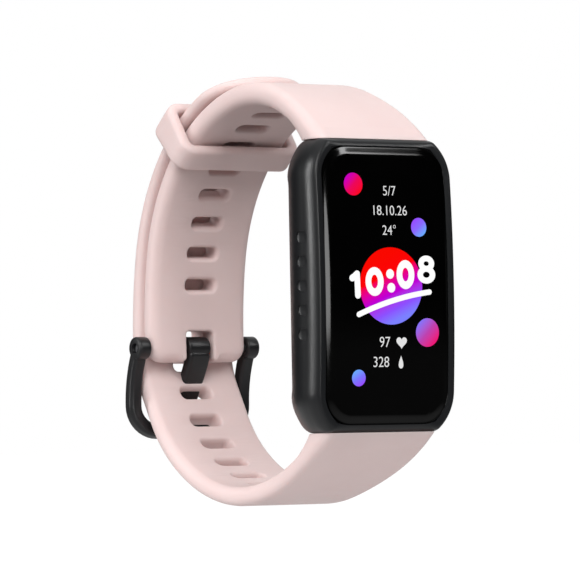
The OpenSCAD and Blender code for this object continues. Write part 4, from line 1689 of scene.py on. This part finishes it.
    def sensor_window(self) -> bpy.types.Object:
        """Builds the smoked window over the light sensor."""
        points, normals = round_rect(*self.window_size, (0, 0), (8, 12, 10))
        edge = [(0.3, 0.2)] * len(points)
        plate = Plate(0.88, Edge(points, normals, edge, edge), (), 4)
        return finished(plate.build(), "sensor_window_pane",
                        lambda p: in_ring(p.x, 10.96 + p.z, p.y), 40)

    def build(self) -> None:
        """Builds and hands over the case's outside."""
        get = self.maker.palette.get
        hand = self.maker.hand_over
        hand(self.shell(), CASE_BODY, get(FinishName.CASE), "case_plastic", "case_shell")
        hand(self.cover_glass(), CASE_BODY, get(FinishName.GLASS), "cover_glass", "front_glass")
        hand(self.button(), "button", get(FinishName.CASE), "case_plastic", "button_cap")
        hand(self.platform(), CASE_BODY, get(FinishName.COVER), "cover_plastic", "back_cover")
        hand(self.sensor_window(), CASE_BODY, get(FinishName.WINDOW), "cover_glass",
             "sensor_window")


# ---- display -------------------------------------------------------------------------------------
@dataclass
class WatchFace:
    """A generic watch face: plain figures, a rule and five coloured discs.

    Args:
        maker: the shared tools.
        stand: how far the lit shapes stand in front of the glass.
        stroke: the width of the time's strokes.
        sink: how deep a slab's middle lies when it doesn't stand out at all.
    """

    maker: Maker
    stand: float = 0.016
    stroke: float = 1.0
    sink: float = 0.038

    def lit(self, mesh: bmesh.types.BMesh, name: str, material: bpy.types.Material,
            stand: float) -> bpy.types.Object:
        """Lays a flat slab on the bowed glass and lights it.

        Args:
            mesh: the slab in X-Y, a tenth of a millimetre thick.
            name: the piece's name.
            material: its glow.
            stand: how far it stands in front of the glass.

        Returns:
            The piece.
        """
        low = min(v.co.y for v in mesh.verts)
        high = max(v.co.y for v in mesh.verts)
        for i in range(1, math.ceil((high - low) / 0.6)):
            bmesh.ops.bisect_plane(mesh, geom=mesh.verts[:] + mesh.edges[:] + mesh.faces[:],
                                   dist=1e-5, plane_co=(0, low + 0.6 * i + 0.013, 0),
                                   plane_no=(0, 1, 0))

        def place(point: Vector) -> Vector:
            """On the glass, following its bow."""
            return in_ring(point.x, Case.bow(point.y) - point.z - stand + self.sink, point.y)

        obj = finished(mesh, name, place, 60)
        return self.maker.hand_over(obj, CASE_BODY, material, "display")

    @staticmethod
    def slab(points: Sequence[Vector]) -> bmesh.types.BMesh:
        """A thin slab under a closed outline."""
        mesh = bmesh.new()
        rows = [[mesh.verts.new((p.x, p.y, z)) for p in points] for z in (-SLAB_HALF, SLAB_HALF)]
        for i in range(len(points)):
            j = (i + 1) % len(points)
            mesh.faces.new((rows[0][i], rows[0][j], rows[1][j], rows[1][i]))
        mesh.faces.new(rows[0][::-1])
        mesh.faces.new(rows[1])
        return mesh

    @staticmethod
    def ring(middle: Sequence[float], size: Sequence[float], hole: Sequence[float],
             count: int = 56) -> bmesh.types.BMesh:
        """A thin oval ring.

        Args:
            middle: its centre.
            size: its outer width and height.
            hole: the width and height of its hole.
            count: points round it.

        Returns:
            The slab.
        """
        loops = []
        for z, across in ((-SLAB_HALF, size), (-SLAB_HALF, hole), (SLAB_HALF, hole),
                          (SLAB_HALF, size)):
            loops.append([Vector((p.x, p.y, z)) for p in oval(middle, *across, count)])
        return rings_mesh(loops, True)

    @staticmethod
    def stroke_line(points: Sequence[Vector], width: float) -> bmesh.types.BMesh:
        """A thin stroke with round ends along a row of points.

        Args:
            points: the middle of the stroke.
            width: its width.

        Returns:
            The slab.
        """
        count = len(points)
        sides: list[list[Vector]] = [[], []]
        for i, point in enumerate(points):
            step = points[min(i + 1, count - 1)] - points[max(i - 1, 0)]
            out = Vector((-step.y, step.x)).normalized() * width / 2
            sides[0].append(point + out)
            sides[1].append(point - out)
        outline = list(sides[0])
        for end, first in ((points[-1], sides[0][-1]), (points[0], sides[1][0])):
            start = math.atan2(first.y - end.y, first.x - end.x)
            outline += [end + Vector((math.cos(start - math.pi * k / 10),
                                      math.sin(start - math.pi * k / 10))) * width / 2
                        for k in range(1, 10)]
            if end == points[-1]:
                outline += sides[1][::-1]
        return WatchFace.slab(outline)

    def figures(self, text: str, name: str, middle: Sequence[float], height: float,
                material: bpy.types.Material) -> None:
        """Sets a small row of figures.

        Args:
            text: the figures.
            name: the piece's name.
            middle: the row's middle, across and up.
            height: the figures' height.
            material: their glow.
        """
        curve = bpy.data.curves.new(name, "FONT")
        curve.body, curve.size = text, height / FIGURE_SHARE
        curve.align_x, curve.align_y = "CENTER", "CENTER"
        curve.resolution_u = 6
        curve.offset = -0.014
        curve.extrude = SLAB_HALF
        source = bpy.data.objects.new(name, curve)
        bpy.context.scene.collection.objects.link(source)
        bpy.context.view_layer.update()
        graph = bpy.context.evaluated_depsgraph_get()
        data = bpy.data.meshes.new_from_object(source.evaluated_get(graph))
        mesh = bmesh.new()
        mesh.from_mesh(data)
        bpy.data.objects.remove(source)
        bpy.data.meshes.remove(data)
        bmesh.ops.remove_doubles(mesh, verts=mesh.verts[:], dist=1e-4)
        for vert in mesh.verts:
            vert.co.x = vert.co.x * 0.92 + middle[0]
            vert.co.y += middle[1]
        self.lit(mesh, name, material, self.stand)

    def heart(self, middle: Sequence[float], size: float) -> bmesh.types.BMesh:
        """A small heart sign for the pulse."""
        points = []
        for i in range(40):
            angle = math.tau * i / 40
            x = 16 * math.sin(angle) ** 3
            y = (13 * math.cos(angle) - 5 * math.cos(2 * angle) - 2 * math.cos(3 * angle)
                 - math.cos(4 * angle))
            points.append(Vector((-x, y)) * size / 32 + Vector(middle))
        return self.slab(points)

    def drop(self, middle: Sequence[float], size: float) -> bmesh.types.BMesh:
        """A small flame sign for the energy."""
        points = []
        for i in range(40):
            angle = math.tau * i / 40
            pinch = math.sin(angle / 2) ** 1.5
            points.append(Vector((math.sin(angle) * pinch * 0.62, math.cos(angle)))
                          * size / 2 + Vector(middle))
        return self.slab(points[::-1])

    def discs(self) -> None:
        """Lays the five coloured discs."""
        red, pink, purple = (252, 10, 24), (236, 8, 92), (196, 0, 196)
        violet, blue, sky = (150, 74, 255), (122, 118, 255), (106, 172, 255)
        places = (
            ("disc_a", (-5.68, 14.7), 3.33, (purple, pink, red), -45.0),
            ("disc_b", (5.82, 8.51), 2.78, (violet, (138, 108, 255), sky), -50.0),
            ("disc_c", (0.49, -0.13), 11.3,
             ((250, 8, 0), (252, 4, 8), (188, 0, 214), (140, 80, 255), (124, 128, 255)), -67.0),
            ("disc_d", (7.01, -6.95), 4.2, ((132, 116, 250), (190, 66, 176), (240, 16, 110)),
             -45.0),
            ("disc_e", (-5.39, -13.53), 2.43, (sky, blue, violet), -60.0),
        )
        for name, middle, diameter, colours, turn in places:
            stops = tuple(i / (len(colours) - 1) for i in range(len(colours)))
            if name == "disc_c":
                stops = (0.1, 0.34, 0.6, 0.8, 0.94)
            glow = Glow(name + "_glow", colours, stops, middle, turn, diameter)
            outline = oval(middle, diameter, diameter, 72)
            self.lit(self.slab(outline), name, glow.material(), self.stand)

    def time(self, white: bpy.types.Material) -> None:
        """Lays the rising hour and minute figures and the rule below them."""
        front = self.stand + 0.012
        one = [Vector(p) for p in ((-6.5, 1.0), (-6.1, 1.22), (-5.62, 1.6), (-5.62, 1.2),
                                   (-5.57, -0.2), (-5.53, -1.5))]
        bar = self.stroke_line(one[2:], self.stroke)
        self.lit(bar, "figure_one_stem", white, front)
        self.lit(self.stroke_line(one[:3], self.stroke), "figure_one_flag", white,
                 front + 0.004)
        self.lit(self.ring((-2.5, 0.5), (3.26, 4.2), (1.2, 2.0)), "figure_nought_a",
                 white, front)
        self.lit(self.ring((3.12, 1.54), (3.22, 4.25), (1.15, 2.0)), "figure_nought_b",
                 white, front)
        self.lit(self.ring((6.97, 3.18), (2.9, 2.36), (0.95, 0.68)), "figure_eight_top",
                 white, front)
        self.lit(self.ring((6.94, 1.54), (3.25, 2.62), (1.25, 0.88)), "figure_eight_foot",
                 white, front + 0.004)
        for name, spot in (("colon_top", (0.33, 1.62)), ("colon_foot", (0.5, -0.39))):
            self.lit(self.slab(oval(spot, 1.4, 1.4, 40)), name, white, front)
        rule = [Vector((mix(-5.4, 7.45, t), -4.3 + 5.05 * t - 1.75 * t * t))
                for t in (i / 24 for i in range(25))]
        self.lit(self.stroke_line(rule, 0.8), "rule", white, front + 0.008)

    def build(self) -> None:
        """Builds the whole face."""
        self.discs()
        white = Glow("figures_white", ((255, 255, 255),)).material()
        pale = Glow("figures_pale", ((226, 226, 226),)).material()
        self.time(white)
        self.figures("18.10.26", "date_figures", (0.6, 10.85), 1.5, pale)
        self.figures("24°", "warmth_figures", (0.45, 7.95), 1.5, pale)
        self.figures("5/7", "day_figures", (0.73, 13.74), 1.5, pale)
        self.figures("97", "pulse_figures", (-0.75, -8.4), 1.6, pale)
        self.figures("328", "energy_figures", (-1.4, -11.3), 1.6, pale)
        self.lit(self.heart((2.3, -8.35), 1.9), "pulse_sign", pale, self.stand)
        self.lit(self.drop((2.2, -11.25), 1.9), "energy_sign", pale, self.stand)


# ---- pieces carried over from the frame -------------------------------------------------------
INNER_FINISHES: dict[str, FinishName] = {
    "case_plastic": FinishName.CASE, "cover_plastic": FinishName.COVER,
    "cover_glass": FinishName.WINDOW, "display": FinishName.GLASS,
    "silicone": FinishName.SILICONE, "buckle_plastic": FinishName.BUCKLE,
    "steel": FinishName.STEEL, "nylon": FinishName.NYLON, "adhesive": FinishName.FOAM,
    "polyimide": FinishName.RIBBON, "circuit_board": FinishName.BOARD,
    "tin_plate": FinishName.TIN, "chip_epoxy": FinishName.EPOXY, "pouch": FinishName.POUCH,
    "magnesium": FinishName.MAGNESIUM, "tungsten": FinishName.TUNGSTEN,
    "gold": FinishName.GOLD, "led_lens": FinishName.EMITTER, "silicon": FinishName.DIODE,
}


def dress_frame(palette: Palette) -> None:
    """Gives every carried-over node the finish of its slot.

    Args:
        palette: the finishes.
    """
    slots = {p["node"]: p["material_slot"] for p in frame["record"]["subparts"]}
    for name, node in frame["nodes"].items():
        material = palette.get(INNER_FINISHES[slots[name]])
        for place in node.material_slots:
            place.material = material
        if not node.material_slots:
            node.data.materials.append(material)
    log.info("dressed %d frame nodes", len(slots))


# ---- studio --------------------------------------------------------------------------------------
@dataclass
class Studio:
    """A plain pale floor, soft light and the camera.

    Args:
        azimuth: the camera's bearing in degrees, 0 looking along +Y.
        elevation: its height angle in degrees.
        roll: its lean in degrees.
        distance: its distance in millimetres.
        lens: its focal length on a 36 mm sensor.
        aim: the point that it looks at, in millimetres in the row frame.
        floor_glow: how bright the floor is to the object above it.
        around: how bright the room is to the object, away from the glass.
    """

    azimuth: float = -35.06
    elevation: float = -1.89
    roll: float = 1.087
    distance: float = 681.8
    lens: float = 281.1
    aim: tuple[float, float, float] = (-0.02, -5.0, 0.22)
    floor_glow: float = 0.62
    around: float = 0.8

    def camera(self) -> None:
        """Sets up the camera."""
        turn, rise, lean = map(math.radians, (self.azimuth, self.elevation, self.roll))
        back = Vector((math.sin(turn) * math.cos(rise), -math.cos(turn) * math.cos(rise),
                       math.sin(rise)))
        right = (-back).cross(Vector((0, 0, 1))).normalized()
        up = right.cross(-back)
        side = right * math.cos(lean) - up * math.sin(lean)
        top = up * math.cos(lean) + right * math.sin(lean)
        data = bpy.data.cameras.new("camera")
        data.lens, data.sensor_width = self.lens, 36.0
        data.clip_start, data.clip_end = 0.01, 20.0
        camera = bpy.data.objects.new("camera", data)
        place = Matrix((side, top, back)).transposed().to_4x4()
        place.translation = Vector(self.aim) * MM + back * self.distance * MM
        camera.matrix_world = place
        bpy.context.scene.collection.objects.link(camera)
        bpy.context.scene.camera = camera

    @staticmethod
    def area(name: str, spot: Sequence[float], size: Sequence[float], power: float,
             colour: Sequence[float] = (1, 1, 1)) -> None:
        """Adds a soft box that faces the object.

        Args:
            name: its name.
            spot: its place in metres.
            size: its width and height in metres.
            power: its power in watts.
            colour: its colour.
        """
        data = bpy.data.lights.new(name, "AREA")
        data.shape, data.size, data.size_y = "RECTANGLE", size[0], size[1]
        data.energy, data.color = power, colour
        light = bpy.data.objects.new(name, data)
        light.location = spot
        light.rotation_euler = (-Vector(spot)).to_track_quat("-Z", "Y").to_euler()
        bpy.context.scene.collection.objects.link(light)

    def world(self) -> None:
        """A white backdrop whose light fades to dark in front of the glass."""
        world = bpy.data.worlds.new("studio")
        bpy.context.scene.world = world
        world.use_nodes = True
        nodes, links = world.node_tree.nodes, world.node_tree.links
        plain = nodes["Background"]
        plain.inputs["Color"].default_value = (1, 1, 1, 1)
        plain.inputs["Strength"].default_value = 1.0
        levels = []
        for toward, wide, tight in (((0.62, -0.78, 0.06), 0.35, 0.8),
                                    ((-0.5, 0.86, 0.0), 0.45, 0.9)):
            dot = nodes.new("ShaderNodeVectorMath")
            dot.operation = "DOT_PRODUCT"
            dot.inputs[1].default_value = Vector(toward).normalized()
            links.new(nodes.new("ShaderNodeTexCoord").outputs["Generated"], dot.inputs[0])
            ramp = nodes.new("ShaderNodeValToRGB")
            links.new(dot.outputs["Value"], ramp.inputs[0])
            steps = ramp.color_ramp.elements
            steps[0].position, steps[0].color = wide, (self.around,) * 3 + (1,)
            steps[1].position, steps[1].color = tight, (0.004, 0.004, 0.004, 1)
            levels.append(ramp.outputs[0])
        darker = nodes.new("ShaderNodeMix")
        darker.data_type, darker.blend_type = "RGBA", "DARKEN"
        darker.inputs[0].default_value = 1.0
        links.new(levels[0], darker.inputs[6])
        links.new(levels[1], darker.inputs[7])
        light = nodes.new("ShaderNodeBackground")
        links.new(darker.outputs[2], light.inputs["Color"])
        seen = nodes.new("ShaderNodeLightPath")
        blend = nodes.new("ShaderNodeMixShader")
        links.new(seen.outputs["Is Camera Ray"], blend.inputs[0])
        links.new(light.outputs[0], blend.inputs[1])
        links.new(plain.outputs[0], blend.inputs[2])
        links.new(blend.outputs[0], nodes["World Output"].inputs["Surface"])

    def floor(self) -> None:
        """Lays the pale floor under the lower strap."""
        low = CAD_BOX[0].z - 0.0001
        mesh = bmesh.new()
        bmesh.ops.create_grid(mesh, x_segments=1, y_segments=1, size=3.0)
        obj = finished(mesh, "floor", lambda p: Vector((p.x, p.y, low)))
        for polygon in obj.data.polygons:
            if polygon.normal.z < 0:
                polygon.flip()
        material = bpy.data.materials.new("pale_floor")
        material.use_nodes = True
        nodes, links = material.node_tree.nodes, material.node_tree.links
        shader = nodes["Principled BSDF"]
        shader.inputs["Base Color"].default_value = (0.06, 0.06, 0.06, 1)
        shader.inputs["Roughness"].default_value = 0.95
        shader.inputs["Specular IOR Level"].default_value = 0.0
        shader.inputs["Emission Strength"].default_value = 1.0
        reach = nodes.new("ShaderNodeVectorMath")
        reach.operation = "LENGTH"
        links.new(nodes.new("ShaderNodeTexCoord").outputs["Object"], reach.inputs[0])
        ramp = nodes.new("ShaderNodeValToRGB")
        links.new(reach.outputs["Value"], ramp.inputs[0])
        steps = ramp.color_ramp.elements
        glow = self.floor_glow
        steps[0].position, steps[0].color = 0.045, (glow, glow, glow, 1)
        steps[1].position, steps[1].color = 0.11, (0.01, 0.01, 0.01, 1)
        blend = nodes.new("ShaderNodeMix")
        blend.data_type = "RGBA"
        blend.inputs[7].default_value = (1, 1, 1, 1)
        links.new(nodes.new("ShaderNodeLightPath").outputs["Is Camera Ray"], blend.inputs[0])
        links.new(ramp.outputs[0], blend.inputs[6])
        links.new(blend.outputs[2], shader.inputs["Emission Color"])
        obj.data.materials.append(material)
        obj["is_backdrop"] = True

    def build(self) -> None:
        """Sets the stage."""
        self.camera()
        self.world()
        self.floor()
        self.area("key_high_left", (-0.5, -0.42, 0.42), (0.4, 0.4), 2.9, (1.0, 0.985, 0.97))
        self.area("strip_rear_left", (-0.6, 0.38, 0.2), (0.05, 0.45), 2.6)
        self.area("strip_front", (-0.09, -0.86, 0.12), (0.24, 0.44), 3.2)
        self.area("strip_high_right", (0.357, -0.508, 0.42), (0.08, 0.37), 1.5)
        scene = bpy.context.scene
        scene.view_settings.view_transform = "Standard"
        scene.view_settings.look = "None"


def main() -> None:
    """Builds the object's looks and the studio round it."""
    logging.basicConfig(level=logging.INFO, format="%(name)s: %(message)s")
    palette = Palette()
    dress_frame(palette)
    maker = Maker(Workshop(), palette, StrapPlan())
    Straps(maker).build()
    Buckle(maker).build()
    Case(maker).build()
    WatchFace(maker).build()
    Studio().build()


if __name__ == "__main__":
    main()
